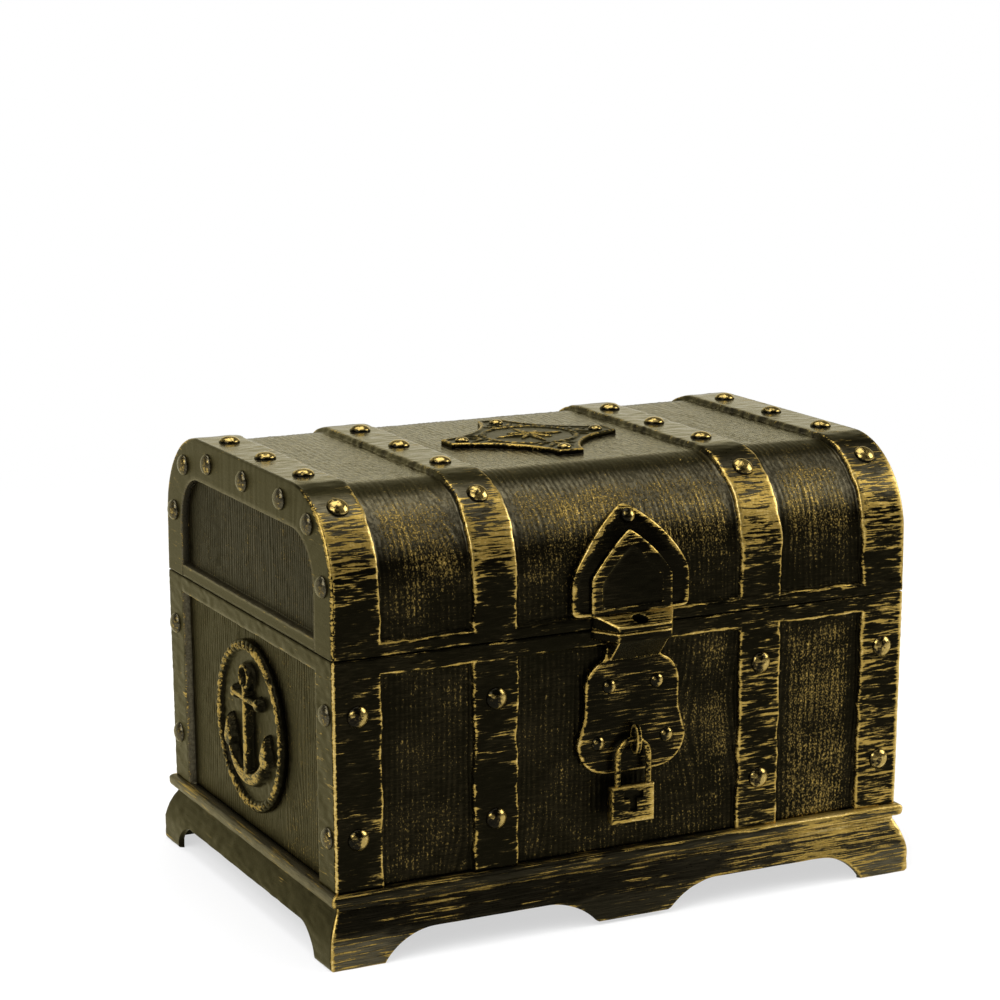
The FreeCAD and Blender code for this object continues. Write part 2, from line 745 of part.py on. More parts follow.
def make_side_emblem(end):
    """Round medallion on one end panel: a thin disc with a rope border and an anchor in higher relief."""
    place = side_plane(0)

    def at(v):
        return emblem_height + v

    def disc(u, v, radius, sides=small_disc_sides):
        return polygon(place, [(u + corner.x, at(v) + corner.y) for corner in ring_points(radius, sides)])

    ground = disc(0, 0, emblem_radius - wreath_width / 2, medallion_sides)
    wreath_outside = disc(0, 0, emblem_radius, medallion_sides)
    wreath = wreath_outside.cut(disc(0, 0, emblem_radius - wreath_width, medallion_sides))
    shank = symmetric_face(place, (shank_half_width, at(-crown_drop + crown_thickness / 2)),
                           [(shank_half_width, at(shank_top))])
    tip_outer = (arm_reach + arm_tip_thickness / 2, at(-arm_tip_drop))
    tip_inner = (arm_reach - arm_tip_thickness / 2, at(-arm_tip_drop))
    arms = crescent(place, tip_outer, at(-crown_drop)).cut(
        crescent(place, tip_inner, at(-crown_drop + crown_thickness)))
    flukes = []
    for side in (-1, 1):
        root = at(-arm_tip_drop)
        flukes.append(polygon(place, [(side * (arm_reach - fluke_half_width), root),
                                      (side * (arm_reach + fluke_half_width), root),
                                      (side * arm_reach, root + fluke_length)]))
    stock = symmetric_face(place, (stock_half_length, at(stock_height - stock_half_height)),
                           [(stock_half_length, at(stock_height + stock_half_height))])
    balls = [disc(side * stock_half_length, stock_height, stock_ball_radius) for side in (-1, 1)]
    ring_centre = shank_top + ring_radius
    ring_outside = disc(0, ring_centre, ring_radius + ring_half_width)
    ring = ring_outside.cut(disc(0, ring_centre, ring_radius - ring_half_width))
    faces = [shank, arms, stock, ring] + flukes + balls
    figure = [end_prism(face, end) for face in faces]
    anchor = figure[0].fuse(figure[1:]).common(wall_layer((0, anchor_relief), (0, 0)))
    layers = [end_prism(face, end).common(wall_layer((0, relief), (0, 0)))
              for face, relief in ((ground, medallion_relief), (wreath, wreath_relief))]
    return anchor.fuse(layers).removeSplitter()


def crescent(place, tip, bottom):
    """Face between a level chord at the tips' height and a round bow down to the bottom."""
    half = tip[0]
    depth = tip[1] - bottom
    radius = (half * half + depth * depth) / (2 * depth)
    half_turn = math.asin(half / radius) / 2
    middle = (radius * math.sin(half_turn), bottom + radius * (1 - math.cos(half_turn)))
    return symmetric_face(place, tip, [(middle, (0, bottom))])


def make_lid_badge():
    """Four-pointed plate with scooped sides and a compass star in relief, on the lid's flat top."""
    base = Vector(0, 0, panel_top)
    edges = []
    for quarter in range(4):
        out, across = quarter_turn(quarter), quarter_turn(quarter + 1)
        tip_right = base + out * badge_point - across * badge_tip_half_width
        tip_left = base + out * badge_point + across * badge_tip_half_width
        next_right = base + across * badge_point + out * badge_tip_half_width
        inward = (out + across) * -math.sqrt(0.5)
        middle = (tip_left + next_right) * 0.5 + inward * badge_scoop
        edges.append(Part.makeLine(tip_right, tip_left))
        edges.append(Part.Arc(tip_left, middle, next_right).toShape())
    plate = Part.Face(Part.Wire(edges)).extrude(Vector(0, 0, badge_thickness))
    star = []
    for step in range(16):
        kind = step % 4
        radius = star_point if kind == 0 else star_short_point if kind == 2 else star_waist
        angle = math.radians(22.5 * step)
        star.append((radius * math.cos(angle), radius * math.sin(angle)))
    relief = polygon(top_plane(panel_top + badge_thickness), star).extrude(Vector(0, 0, star_rise))
    return plate.fuse(relief).removeSplitter()


def quarter_turn(count):
    """Level direction after a number of quarter turns from +X."""
    angle = math.radians(90 * count)
    return Vector(math.cos(angle), math.sin(angle), 0)


def make_badge_studs():
    """Small stud heads near the badge's four points."""
    base = Vector(0, 0, panel_top + badge_thickness)
    radius = badge_point - badge_stud_inset
    seats = [(base + quarter_turn(quarter) * radius, Vector(0, 0, 1)) for quarter in range(4)]
    return studs(seats, small_stud_radius, small_stud_rise)


def main():
    """Builds every piece and writes each to its own file."""
    lock_plate = make_lock_plate()
    pieces = {
        "chest_body": make_body(),
        "plinth": make_plinth(),
        "lock_plate": lock_plate,
        "lock_plate_rivets": studs(plate_stud_seats(), small_stud_radius, small_stud_rise),
        "catch": make_catch(lock_plate),
        "staple": make_staple(lock_plate),
        "front_rivets": make_wall_studs("front"),
        "back_rivets": make_wall_studs("back"),
        "side_rivets_left": make_wall_studs("left"),
        "side_rivets_right": make_wall_studs("right"),
        "side_emblem_left": make_side_emblem(-1),
        "side_emblem_right": make_side_emblem(1),
        "hinge_pin_left": make_hinge_pin(-1),
        "hinge_pin_right": make_hinge_pin(1),
        "lid": make_lid(),
        "lid_lock_plate": make_lid_lock_plate(),
        "hasp": make_hasp(),
        "hasp_rivet": make_hasp_stud(),
        "lid_badge": make_lid_badge(),
        "badge_rivets": make_badge_studs(),
        "lid_strap_rivets": make_lid_strap_studs(),
        "lid_end_rivets_left": make_lid_end_studs(-1),
        "lid_end_rivets_right": make_lid_end_studs(1),
        "padlock_case": make_padlock_case(),
        "padlock_shackle": make_padlock_shackle(),
    }
    os.makedirs("parts", exist_ok=True)
    for name, shape in pieces.items():
        shape.exportStep(os.path.join("parts", name + ".step"))
        print(f"{name}: {len(shape.Solids)} solids, valid {shape.isValid()}, {shape.Volume:.1f} mm3")


main()
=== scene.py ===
"""A small treasure chest box with a dry-brushed antique finish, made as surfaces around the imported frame.

Lengths inside the functions are millimetres, and put_piece turns them into metres. The studio is in metres
throughout.
"""
import json
import math
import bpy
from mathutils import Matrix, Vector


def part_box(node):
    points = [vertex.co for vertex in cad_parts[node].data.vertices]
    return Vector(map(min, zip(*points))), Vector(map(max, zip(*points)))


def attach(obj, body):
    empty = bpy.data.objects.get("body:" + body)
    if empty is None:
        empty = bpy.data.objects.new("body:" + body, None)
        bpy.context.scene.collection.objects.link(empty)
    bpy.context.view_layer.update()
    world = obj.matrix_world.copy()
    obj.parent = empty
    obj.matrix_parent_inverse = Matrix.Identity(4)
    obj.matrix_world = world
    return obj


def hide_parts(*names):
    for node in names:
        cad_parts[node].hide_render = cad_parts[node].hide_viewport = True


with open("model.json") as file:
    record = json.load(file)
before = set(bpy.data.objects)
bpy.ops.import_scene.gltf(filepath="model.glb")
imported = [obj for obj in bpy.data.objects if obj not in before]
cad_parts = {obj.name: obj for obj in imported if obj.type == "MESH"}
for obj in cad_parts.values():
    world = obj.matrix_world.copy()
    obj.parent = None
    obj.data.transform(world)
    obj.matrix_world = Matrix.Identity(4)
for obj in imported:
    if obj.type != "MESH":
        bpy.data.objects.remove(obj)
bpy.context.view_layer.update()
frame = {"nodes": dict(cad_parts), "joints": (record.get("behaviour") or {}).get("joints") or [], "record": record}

from types import SimpleNamespace

import bpy
import numpy as np
from bpy.props import FloatProperty, FloatVectorProperty, PointerProperty
from mathutils import Matrix

bl_info = {
    "name": "Treasure chest box",
    "version": (1, 0, 0),
    "blender": (4, 5, 0),
    "location": "View3D > Sidebar > Chest",
    "description": "Builds a hinged chest box, its fittings and its studio around a packed frame",
    "category": "Object",
}

MM = 0.001


def corners_of(node):
    """Lowest and highest corner of a CAD node, in millimetres."""
    return np.array([tuple(corner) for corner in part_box(node)]) / MM


LID_LOW, LID_HIGH = corners_of("lid")
PLINTH_HIGH = corners_of("plinth")[1]
HASP_LOW = corners_of("hasp")[0]
CASE_LOW, CASE_HIGH = corners_of("padlock_case")
SHACKLE_LOW, SHACKLE_HIGH = corners_of("padlock_shackle")
EMBLEM_LOW, EMBLEM_HIGH = corners_of("side_emblem_right")

# Half width of the eased slope at a strap's edge, and how far inside the edge its rubbed crest runs
EDGE_EASE, CREST = 0.32, 0.34
# Radius of the hinges' barrels, ease of the knuckles' end rims, and the knuckles' marks
BARREL, KNUCKLE_EDGE = 2.8, 0.35
HINGE_MARKS = {"rub": 0.35, "brush": 0.2}
# Height of the catch's neck under the rail
NECK = 3.3


def length(name, description, millimetres):
    """Length property with its default given in millimetres."""
    return FloatProperty(name=name, description=description, default=millimetres * MM, min=0.0,
                         unit="LENGTH", precision=5)


def colour(name, description, default):
    """Linear colour property."""
    return FloatVectorProperty(name=name, description=description, default=default, min=0.0, max=1.0,
                               size=3, subtype="COLOR")


class ChestSizes(bpy.types.PropertyGroup):
    """Sizes of the box, the lid, the plinth and the studs that the frame's boxes don't give."""
    parting: length("Parting", "Height of the box's rim", 72.8)
    lid_gap: length("Lid gap", "Gap between the rim and the lid", 0.3)
    shoulder: length("Shoulder", "Radius of the lid's round shoulders", 23.0)
    lean: length("Lean", "How far the walls lean in towards the plinth", 0.5)
    wall: length("Wall", "Thickness of the moulded walls", 2.0)
    strap_rise: length("Strap rise", "Height of the straps over the panels", 1.3)
    end_recess: length("End recess", "Depth of the end panels behind their frames", 1.8)
    strap_place: length("Strap place", "Distance of the inner straps from the middle", 36.0)
    strap_width: length("Strap width", "Width of the inner straps", 11.6)
    end_strap: length("End strap", "Width of the straps at the corners", 12.3)
    end_frame: length("End frame", "Width of the frames on the ends", 10.6)
    rail: length("Rail", "Height of the rail under the box's rim", 4.3)
    rim: length("Rim", "Height of the rim round the lid's foot", 3.1)
    corner: length("Corner", "Radius of the upright corners", 0.9)
    grain_pitch: length("Grain pitch", "Distance between the grain lines", 1.35)
    grain_depth: length("Grain depth", "Depth of the grain lines", 0.22)
    apron: length("Apron", "Clear height under the plinth's aprons", 7.2)
    foot_width: length("Foot width", "Width of a foot along the front", 13.4)
    foot_depth: length("Foot depth", "Width of a foot along the end", 10.0)
    stud_rise: length("Stud rise", "Height of the large stud heads", 1.4)
    small_stud_rise: length("Small stud rise", "Height of the small stud heads", 0.95)


class ChestColours(bpy.types.PropertyGroup):
    """Colours of the finishes."""
    shell: colour("Shell", "Near-black bronze under the brushed gold", (0.0048, 0.0041, 0.0019))
    shell_worn: colour("Worn shell", "Lighter bronze where the shell is rubbed", (0.013, 0.0105, 0.005))
    wash: colour("Wash", "Thin umber wash round the brushed gold", (0.095, 0.068, 0.021))
    gold: colour("Gold", "Brushed antique gold", (0.34, 0.228, 0.052))
    pale_gold: colour("Pale gold", "Gold where it is rubbed bright", (0.64, 0.475, 0.175))
    stud_gold: colour("Stud gold", "Darker gold of the stud heads", (0.33, 0.235, 0.07))
    plate: colour("Plate", "Black of the lock plates", (0.0042, 0.0036, 0.0018))
    # painted_sheen is a light bronze painted on the lid's top and front shoulder, the ends' crests, the plinth and
    # the left-end studs: painted sheen in place of the studio's reflections at a flat angle.
    painted_sheen: colour("Satin", "Rubbed satin bronze of the lid's top and shoulder", (0.280, 0.244, 0.150))
    edge_tint: colour("Edge tint", "Olive tint of the bronze at a flat angle", (0.95, 0.88, 0.62))
    lining: colour("Lining", "Glossy black inside the chest", (0.006, 0.006, 0.006))
    steel: colour("Steel", "Dulled steel of the hinge pins", (0.30, 0.29, 0.27))
    floor: colour("Floor", "Pale floor of the studio", (0.93, 0.93, 0.93))


def measured():
    """Sizes in millimetres, with the places that follow from them and from the frame."""
    group = bpy.context.scene.chest_sizes
    names = ChestSizes.__annotations__
    mm = SimpleNamespace(**{name: getattr(group, name) / MM for name in names})
    mm.half_width = LID_HIGH[0]
    mm.half_depth = -LID_LOW[1]
    mm.lid_top = LID_HIGH[2]
    mm.plinth_top = PLINTH_HIGH[2]
    mm.overhang = PLINTH_HIGH[0] - mm.half_width
    mm.lid_foot = mm.parting + mm.lid_gap
    mm.rim_top = mm.lid_foot + mm.rim
    mm.rail_foot = mm.parting - mm.rail
    mm.shoulder_z = mm.lid_top - mm.shoulder
    mm.shoulder_y = mm.half_depth - mm.shoulder
    mm.straps = (-mm.strap_place, mm.strap_place)
    return mm


# Whole-array helpers


def smooth(low, high, x):
    """Eased step from 0 at low to 1 at high: 3 t squared - 2 t cubed of the share t of the way."""
    t = np.clip((x - low) / (high - low), 0, 1)
    return t * t * (3 - 2 * t)


def bell(distance, width):
    """Bell curve: 1 at no distance, falling as e to minus the square of distance over width."""
    return np.exp(-(distance / width) ** 2)


def round_turn(count):
    """A count of angles spread evenly over a full turn."""
    return np.linspace(0, 2 * np.pi, count, endpoint=False)


def round_ways(count):
    """Flat directions at a count of angles spread evenly over a full turn."""
    turn = round_turn(count)
    return np.stack([np.cos(turn), np.sin(turn)], -1)


def signed_power(x, power):
    """Size of x to a power, with the sign of x."""
    return np.sign(x) * np.abs(x) ** power


def noise(u, v, seed):
    """Noise from 0 to 1: seeded values on whole-number points, eased between the four nearest."""
    period = 256
    table = np.random.default_rng(seed).random((period, period))
    u, v = np.broadcast_arrays(np.asarray(u, float), np.asarray(v, float))
    u_low = np.floor(u).astype(int)
    v_low = np.floor(v).astype(int)
    u_share = smooth(0, 1, u - u_low)
    v_share = smooth(0, 1, v - v_low)
    u0, u1 = u_low % period, (u_low + 1) % period
    v0, v1 = v_low % period, (v_low + 1) % period
    low = table[u0, v0] + (table[u1, v0] - table[u0, v0]) * u_share
    high = table[u0, v1] + (table[u1, v1] - table[u0, v1]) * u_share
    return low + (high - low) * v_share


def places(low, high, edges, coarse, fine, near):
    """Grid places from low to high: coarse apart, and fine apart within near of each edge."""
    samples = 20001
    t = np.linspace(low, high, samples)
    gap = np.full(t.shape, coarse)
    for edge in edges:
        gap = np.minimum(gap, fine + (coarse - fine) * smooth(near, 2.5 * near, np.abs(t - edge)))
    steps = np.concatenate([[0], np.cumsum((t[1] - t[0]) / gap[:-1])])
    return np.interp(np.linspace(0, steps[-1], int(np.ceil(steps[-1])) + 1), steps, t)


def wood_grain(across, along, seed, pitch):
    """Grain lines from 0 to 1: a cosine across the board whose phase drifts with slow and quick noise and
    swells in a few long eyes. Short noise along each line breaks it into dashes of uneven strength."""
    drift = 2.2 * noise(across / 19, along / 60, seed) + 0.7 * noise(across / 5, along / 21, seed + 1)
    drift = drift + 0.45 * noise(across / 1.5, along / 9, seed + 4)
    eyes = np.random.default_rng(seed + 9).uniform(-1, 1, (7, 2))
    for eye_across, eye_along in eyes * (70, 55):
        drift = drift + 2.2 * np.exp(-((across - eye_across) / 4.5) ** 2 - ((along - eye_along) / 15) ** 2)
    lines = 0.5 + 0.5 * np.cos(2 * np.pi * (across / pitch + drift))
    dashes = 0.35 + 0.65 * noise(across / 1.6, along / 1.2, seed + 2)
    return lines * dashes * (0.55 + 0.45 * noise(across / 2.3, along / 13, seed + 6))


def grid_faces(rows, columns, close_rows=False, close_columns=False):
    """Four-cornered faces between neighbours on a grid of rows by columns."""
    row, column = np.meshgrid(np.arange(rows if close_rows else rows - 1),
                              np.arange(columns if close_columns else columns - 1), indexing="ij")
    next_row = (row + 1) % rows
    next_column = (column + 1) % columns
    corners = [row * columns + column, next_row * columns + column,
               next_row * columns + next_column, row * columns + next_column]
    return np.stack(corners, -1).reshape(-1, 4)


def carried_loop(points, marks, closed=False):
    """Shell from points[place along the path, place round the loop]: the loop closes on itself, and the
    path closes too or its two ends are capped."""
    rows, columns = points.shape[:2]
    faces = [grid_faces(rows, columns, closed, True)]
    if not closed:
        first = np.arange(columns)
        faces += [first[None, :], ((rows - 1) * columns + first[::-1])[None, :]]
    return points.reshape(-1, 3), faces, flat_marks(marks, (rows, columns))


def between_poles(points, start, end, marks):
    """Shell from points[ring, place round the ring], closed by a fan to the start point before the first
    ring and by a fan to the end point after the last. A mark's value at a pole is its nearest ring's mean."""
    rings, columns = points.shape[:2]
    count = rings * columns
    here = np.arange(columns)
    there = (here + 1) % columns
    last = (rings - 1) * columns
    faces = [
        grid_faces(rings, columns, False, True),
        np.stack([here, there, np.full(columns, count)], -1),
        np.stack([last + there, last + here, np.full(columns, count + 1)], -1),
    ]
    flat = flat_marks(marks, (rings, columns))
    poles = {name: np.concatenate([values, [values[:columns].mean(), values[last:].mean()]])
             for name, values in flat.items()}
    return np.vstack([points.reshape(-1, 3), [start], [end]]), faces, poles


def flat_marks(marks, shape):
    """Marks spread to the grid's shape and laid out in the order of its points."""
    return {name: np.broadcast_to(values, shape).astype(float).ravel() for name, values in marks.items()}


def lined(marks, shape, columns, **lining):
    """Marks of an outer face with those of its lining in the columns after it. A mark of the lining is 0
    unless a value is named for it, and the mark inside is 1 there."""
    behind = {"inside": 1.0, **lining}
    return {name: np.hstack([np.broadcast_to(values, shape),
                             np.full((shape[0], columns), behind.get(name, 0.0))])
            for name, values in {**marks, "inside": 0.0}.items()}


def volume(points, faces):
    """Signed volume inside the faces, as the sum of tetrahedra from the origin to each face's fan."""
    total = 0.0
    for group in faces:
        first = points[group[:, 0]]
        for step in range(1, group.shape[1] - 1):
            side = np.cross(points[group[:, step]], points[group[:, step + 1]])
            total += np.einsum("ij,ij->", first, side) / 6
    return total


def put_piece(name, shells, finish, body, slot, *nodes):
    """Makes one mesh of closed shells with their faces outwards, in metres, gives it its marks and its
    finish, hangs it on its body and hides the CAD nodes that it stands for. The slot is not used."""
    points, loops, sizes, start = [], [], [], 0
    marks = {mark: [] for _, _, shell_marks in shells for mark in shell_marks}
    for shell_points, shell_faces, shell_marks in shells:
        turn = slice(None, None, -1 if volume(shell_points, shell_faces) < 0 else 1)
        for group in shell_faces:
            loops.append((group[:, turn] + start).ravel())
            sizes.append(np.full(len(group), group.shape[1]))
        for mark, values in marks.items():
            values.append(shell_marks.get(mark, np.zeros(len(shell_points))))
        points.append(shell_points)
        start += len(shell_points)
    sizes = np.concatenate(sizes)
    mesh = bpy.data.meshes.new(name)
    mesh.vertices.add(start)
    mesh.vertices.foreach_set("co", (np.vstack(points) * MM).astype(np.float32).ravel())
    mesh.loops.add(int(sizes.sum()))
    mesh.loops.foreach_set("vertex_index", np.concatenate(loops).astype(np.int32))
    mesh.polygons.add(len(sizes))
    mesh.polygons.foreach_set("loop_start", np.concatenate([[0], np.cumsum(sizes)[:-1]]).astype(np.int32))
    mesh.polygons.foreach_set("use_smooth", np.ones(len(sizes), bool))
    for mark, values in marks.items():
        layer = mesh.attributes.new(mark, "FLOAT", "POINT")
        layer.data.foreach_set("value", np.concatenate(values).astype(np.float32))
    mesh.update(calc_edges=True)
    if mesh.validate():
        raise RuntimeError(f"{name}: the mesh had faces that can't be used")
    mesh.materials.append(finish)
    piece = bpy.data.objects.new(name, mesh)
    bpy.context.scene.collection.objects.link(piece)
    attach(piece, body)
    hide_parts(*nodes)


def stacked(*layers):
    """Points whose last axis holds x, y and z, from three arrays of like shape."""
    return np.stack(np.broadcast_arrays(*layers), -1)


def quarter_turned(points, quarters):
    """Points turned about the z axis by a number of quarter turns."""
    x, y, z = np.moveaxis(points, -1, 0)
    cos, sin = ((1, 0), (0, 1), (-1, 0), (0, -1))[quarters % 4]
    return stacked(cos * x - sin * y, sin * x + cos * y, z)


def filleted(corners, radii, spacing):
    """Open run of straight stretches through the corners, each rounded by an arc of its radius, with places
    about a spacing apart. Gives the points and their left-hand normals."""
    corners = np.asarray(corners, float)
    points, normals = [], []
    ways = np.diff(corners, axis=0)
    lengths = np.linalg.norm(ways, axis=1)
    ways = ways / lengths[:, None]
    turns = np.zeros(len(corners))
    turns[1:-1] = np.arctan2(ways[:-1, 0] * ways[1:, 1] - ways[:-1, 1] * ways[1:, 0],
                             (ways[:-1] * ways[1:]).sum(1))
    trims = np.asarray(radii) * np.abs(np.tan(turns / 2))
    for step, way in enumerate(ways):
        run = lengths[step] - trims[step] - trims[step + 1]
        count = max(int(np.ceil(run / spacing)), 1)
        along = trims[step] + run * np.arange(count + 1) / count
        points.append(corners[step] + way * along[:, None])
        left = np.array([-way[1], way[0]])
        normals.append(np.broadcast_to(left, (count + 1, 2)))
        if step + 1 < len(ways) and radii[step + 1] > 0:
            bend = turns[step + 1]
            angle = bend * np.arange(1, 6)[:, None] / 6
            sideways = math.copysign(radii[step + 1], bend) * left
            begin = points[-1][-1]
            turned = np.hstack([np.cos(angle) * left[0] - np.sin(angle) * left[1],
                                np.sin(angle) * left[0] + np.cos(angle) * left[1]])
            points.append(begin + sideways - math.copysign(radii[step + 1], bend) * turned)
            normals.append(turned)
    return np.vstack(points), np.vstack(normals)


# Finishes


class Value:
    """A number that changes over a surface; an operator on it adds a Math node."""

    def __init__(self, finish, socket):
        self.finish = finish
        self.socket = socket

    def math(self, operation, first, second):
        node = self.finish.node("ShaderNodeMath", {"operation": operation}, {0: first, 1: second})
        return Value(self.finish, node.outputs[0])

    def __add__(self, other):
        return self.math("ADD", self, other)

    def __radd__(self, other):
        return self.math("ADD", other, self)

    def __sub__(self, other):
        return self.math("SUBTRACT", self, other)

    def __rsub__(self, other):
        return self.math("SUBTRACT", other, self)

    def __mul__(self, other):
        return self.math("MULTIPLY", self, other)

    def over(self, other):
        """The larger of two values."""
        return self.math("MAXIMUM", self, other)


class Finish:
    """Material or world whose nodes are added by one method, with short names for the kinds that recur."""

    def __init__(self, owner):
        self.owner = owner
        owner.use_nodes = True
        self.tree = owner.node_tree
        self.tree.nodes.clear()

    def node(self, kind, settings=None, sockets=None):
        """Adds a node: settings first, then a value or a link for each named or numbered socket."""
        node = self.tree.nodes.new(kind)
        for setting, value in (settings or {}).items():
            setattr(node, setting, value)
        for socket, value in (sockets or {}).items():
            if isinstance(value, Value):
                self.tree.links.new(value.socket, node.inputs[socket])
            elif isinstance(value, bpy.types.NodeSocket):
                self.tree.links.new(value, node.inputs[socket])
            else:
                node.inputs[socket].default_value = value
        return node

    def place(self):
        """Object coordinates in millimetres."""
        source = self.node("ShaderNodeTexCoord").outputs["Object"]
        return self.scaled(source, 1 / MM)

    def scaled(self, vector, factors):
        """Vector multiplied by three factors, or by one."""
        factors = np.broadcast_to(factors, 3).tolist()
        return self.node("ShaderNodeVectorMath", {"operation": "MULTIPLY"},
                         {0: vector, 1: factors}).outputs[0]

    def mark(self, name):
        """A mark that the piece's mesh holds."""
        node = self.node("ShaderNodeAttribute", {"attribute_name": name})
        return Value(self, node.outputs["Fac"])

    def noise(self, vector, detail, roughness, distortion=0.0):
        """Noise over a vector that is already scaled."""
        node = self.node("ShaderNodeTexNoise", None, {
            "Vector": vector, "Scale": 1.0, "Detail": detail, "Roughness": roughness,
            "Distortion": distortion})
        return Value(self, node.outputs[0])

    def step(self, value, low, high):
        """Eased step from 0 to 1 between two values."""
        node = self.node("ShaderNodeMapRange", {"interpolation_type": "SMOOTHSTEP"}, {
            "Value": value, "From Min": low, "From Max": high})
        return Value(self, node.outputs[0])

    def mix(self, factor, first, second):
        """Colour between two colours."""
        def rgba(value):
            return value if isinstance(value, bpy.types.NodeSocket) else (*value, 1.0)
        node = self.node("ShaderNodeMix", {"data_type": "RGBA"}, {
            0: factor, 6: rgba(first), 7: rgba(second)})
        return node.outputs[2]

    def mix_vector(self, factor, first, second):
        """Vector between two vectors."""
        node = self.node("ShaderNodeMix", {"data_type": "VECTOR"}, {0: factor, 4: first, 5: second})
        return node.outputs[1]

    def close(self, shader, output="ShaderNodeOutputMaterial"):
        """Links a shader to the output and gives the material or world."""
        self.node(output, None, {"Surface": shader})
        return self.owner


def aged_finish(name, under, worn, gold, pale, look):
    """Dark bronze ground with dry-brushed gold. The gold lies where a sum passes a threshold: the piece's
    rubbed edges, its brushed zones and its grain crests, plus long noise for brush strokes, slow noise for
    patches and quick noise for specks; an umber wash lies a little below the threshold. Strokes run along
    x, and along y where the mark named end is 1 or more, and are calmer where the mark named panel is 1. The
    larger the mark end, the less metal the ground shows, which darkens it; on the catch's neck and the lid's
    end panels that darkening is painted shade. The mark named painted_sheen lays a lighter bronze on the ground
    as painted sheen, in place of reflected light, the mark named top polishes it and gives it a long grain,
    and the mark named inside turns the surface to the glossy lining."""
    tint = bpy.context.scene.chest_colours
    finish = Finish(bpy.data.materials.new(name))
    place = finish.place()
    long, thin = look["stroke"]
    along_x = finish.scaled(place, (1 / long, 1 / thin, 1 / thin))
    along_y = finish.scaled(place, (1 / thin, 1 / long, 1 / thin))
    way = finish.mix_vector(finish.mark("end"), along_x, along_y)
    strokes = finish.noise(way, 2.5, 0.6, 0.5)
    hairs = finish.noise(finish.scaled(way, 2.3), 2.0, 0.6)
    patches = finish.noise(finish.scaled(place, 0.085), 2.0, 0.5)
    specks = finish.noise(finish.scaled(place, 1.5), 3.0, 0.65)
    dots = finish.noise(finish.scaled(place, (2.9, 2.9, 1.9)), 1.0, 0.5)
    rub, inside, grain, panel = (finish.mark(mark) for mark in ("rub", "inside", "grain", "panel"))
    end, painted_sheen, top = (finish.mark(mark) for mark in ("end", "painted_sheen", "top"))
    brushed = finish.mark("brush") + rub * look["rub"] + grain * look["grain"]
    worked = (strokes - 0.5) * look["strokes"] + (hairs - 0.5) * look["hairs"]
    worked = worked * (1 - panel * look["calm"])
    spread = (specks - 0.5) * look["specks"] + (dots - 0.5) * panel * look["panel_specks"]
    spread = spread + (patches - 0.5) * look["patches"]
    total = brushed + worked + spread - inside * 3.0
    wash = finish.step(total, look["start"] - 0.22, look["start"] + 0.04)
    cover = finish.step(total, look["start"], panel * look["panel_fade"] + look["full"])
    bright = finish.step(total + (specks - 0.5) * 1.2, look["full"] + 0.15, look["full"] + 0.95)
    ground = finish.mix(finish.step(hairs + (patches - 0.5) * 0.6 + grain * 0.35, 0.42, 0.85), under, worn)
    hide = finish.noise(finish.scaled(place, (1.2, 0.42, 1.2)), 2.0, 0.6)
    leather = finish.step(hide + (specks - 0.5) * 0.4, 0.42, 0.60) - 0.75
    leather = leather * (top * 0.5 + 0.5) + 0.75
    streaky = (hairs - 0.5) * 1.5 + 0.55
    # Painted sheen: a lighter bronze mixed into the ground colour where the mark painted_sheen lies, standing in
    # for reflected light.
    ground = finish.mix(painted_sheen * (panel * (leather - streaky) + streaky), ground, tuple(tint.painted_sheen))
    ground = finish.mix(wash * wash * 0.8, ground, tuple(tint.wash))
    ground = finish.mix(inside, ground, tuple(tint.lining))
    base = finish.mix(cover, ground, finish.mix(bright, gold, pale))
    rough = panel * look["panel_rough"] + look["rough"] + (specks - 0.5) * 0.2 + (hairs - 0.5) * 0.1
    rough = rough + cover * (look["gold_rough"] - look["rough"]) - inside * 0.08 - top * 0.17
    # A large end mark lowers the metal and darkens the ground: painted shade on the catch's neck and the lid's end
    # panels.
    metal = (1 - inside) * (1 - end * 0.08) * look["ground_metal"]
    metal = metal + cover * (look["metal"] - look["ground_metal"])
    pitted = panel * 0.4 + painted_sheen * 0.8 + look["pitted"]
    relief = (strokes + hairs) * (1 - top * 0.8) * 0.35 + specks * pitted + cover * 0.25
    relief = relief + hide * top * panel * 2.2
    bump = finish.node("ShaderNodeBump", None, {
        "Strength": look["bump"], "Distance": 0.12 * MM, "Height": relief})
    shader = finish.node("ShaderNodeBsdfPrincipled", None, {
        "Base Color": base, "Metallic": metal, "Roughness": rough, "Normal": bump.outputs[0],
        "Specular IOR Level": 0.03, "Specular Tint": (*tint.edge_tint, 1.0),
        "Coat Weight": inside * 0.5 + look["coat"],
        "Coat Roughness": 0.06})
    return finish.close(shader.outputs[0])


# Looks of the aged finish: length and width of a stroke, weights of what makes up the gold, the sums where
# it starts and is full, and the roughness, metal, bump and coat of ground and gold
SHELL_LOOK = {
    "stroke": (7.0, 0.7), "rub": 0.62, "grain": 0.45, "strokes": 2.4, "hairs": 0.9, "calm": 0.8,
    "patches": 0.7, "specks": 0.4, "panel_specks": 1.7, "panel_fade": 0.35, "start": 0.60, "full": 0.74,
    "rough": 0.31, "panel_rough": 0.07, "gold_rough": 0.36, "ground_metal": 0.85, "metal": 0.85,
    "bump": 0.5, "pitted": 0.3, "coat": 0.0,
}
PLATE_LOOK = dict(SHELL_LOOK, stroke=(11.0, 0.6), rub=0.75, rough=0.28, strokes=2.2)
PLINTH_LOOK = dict(SHELL_LOOK, stroke=(15.0, 0.5), strokes=2.2)
RELIEF_LOOK = dict(SHELL_LOOK, stroke=(3.0, 0.8), rub=0.8, strokes=1.1, hairs=0.6, specks=0.9, rough=0.36)
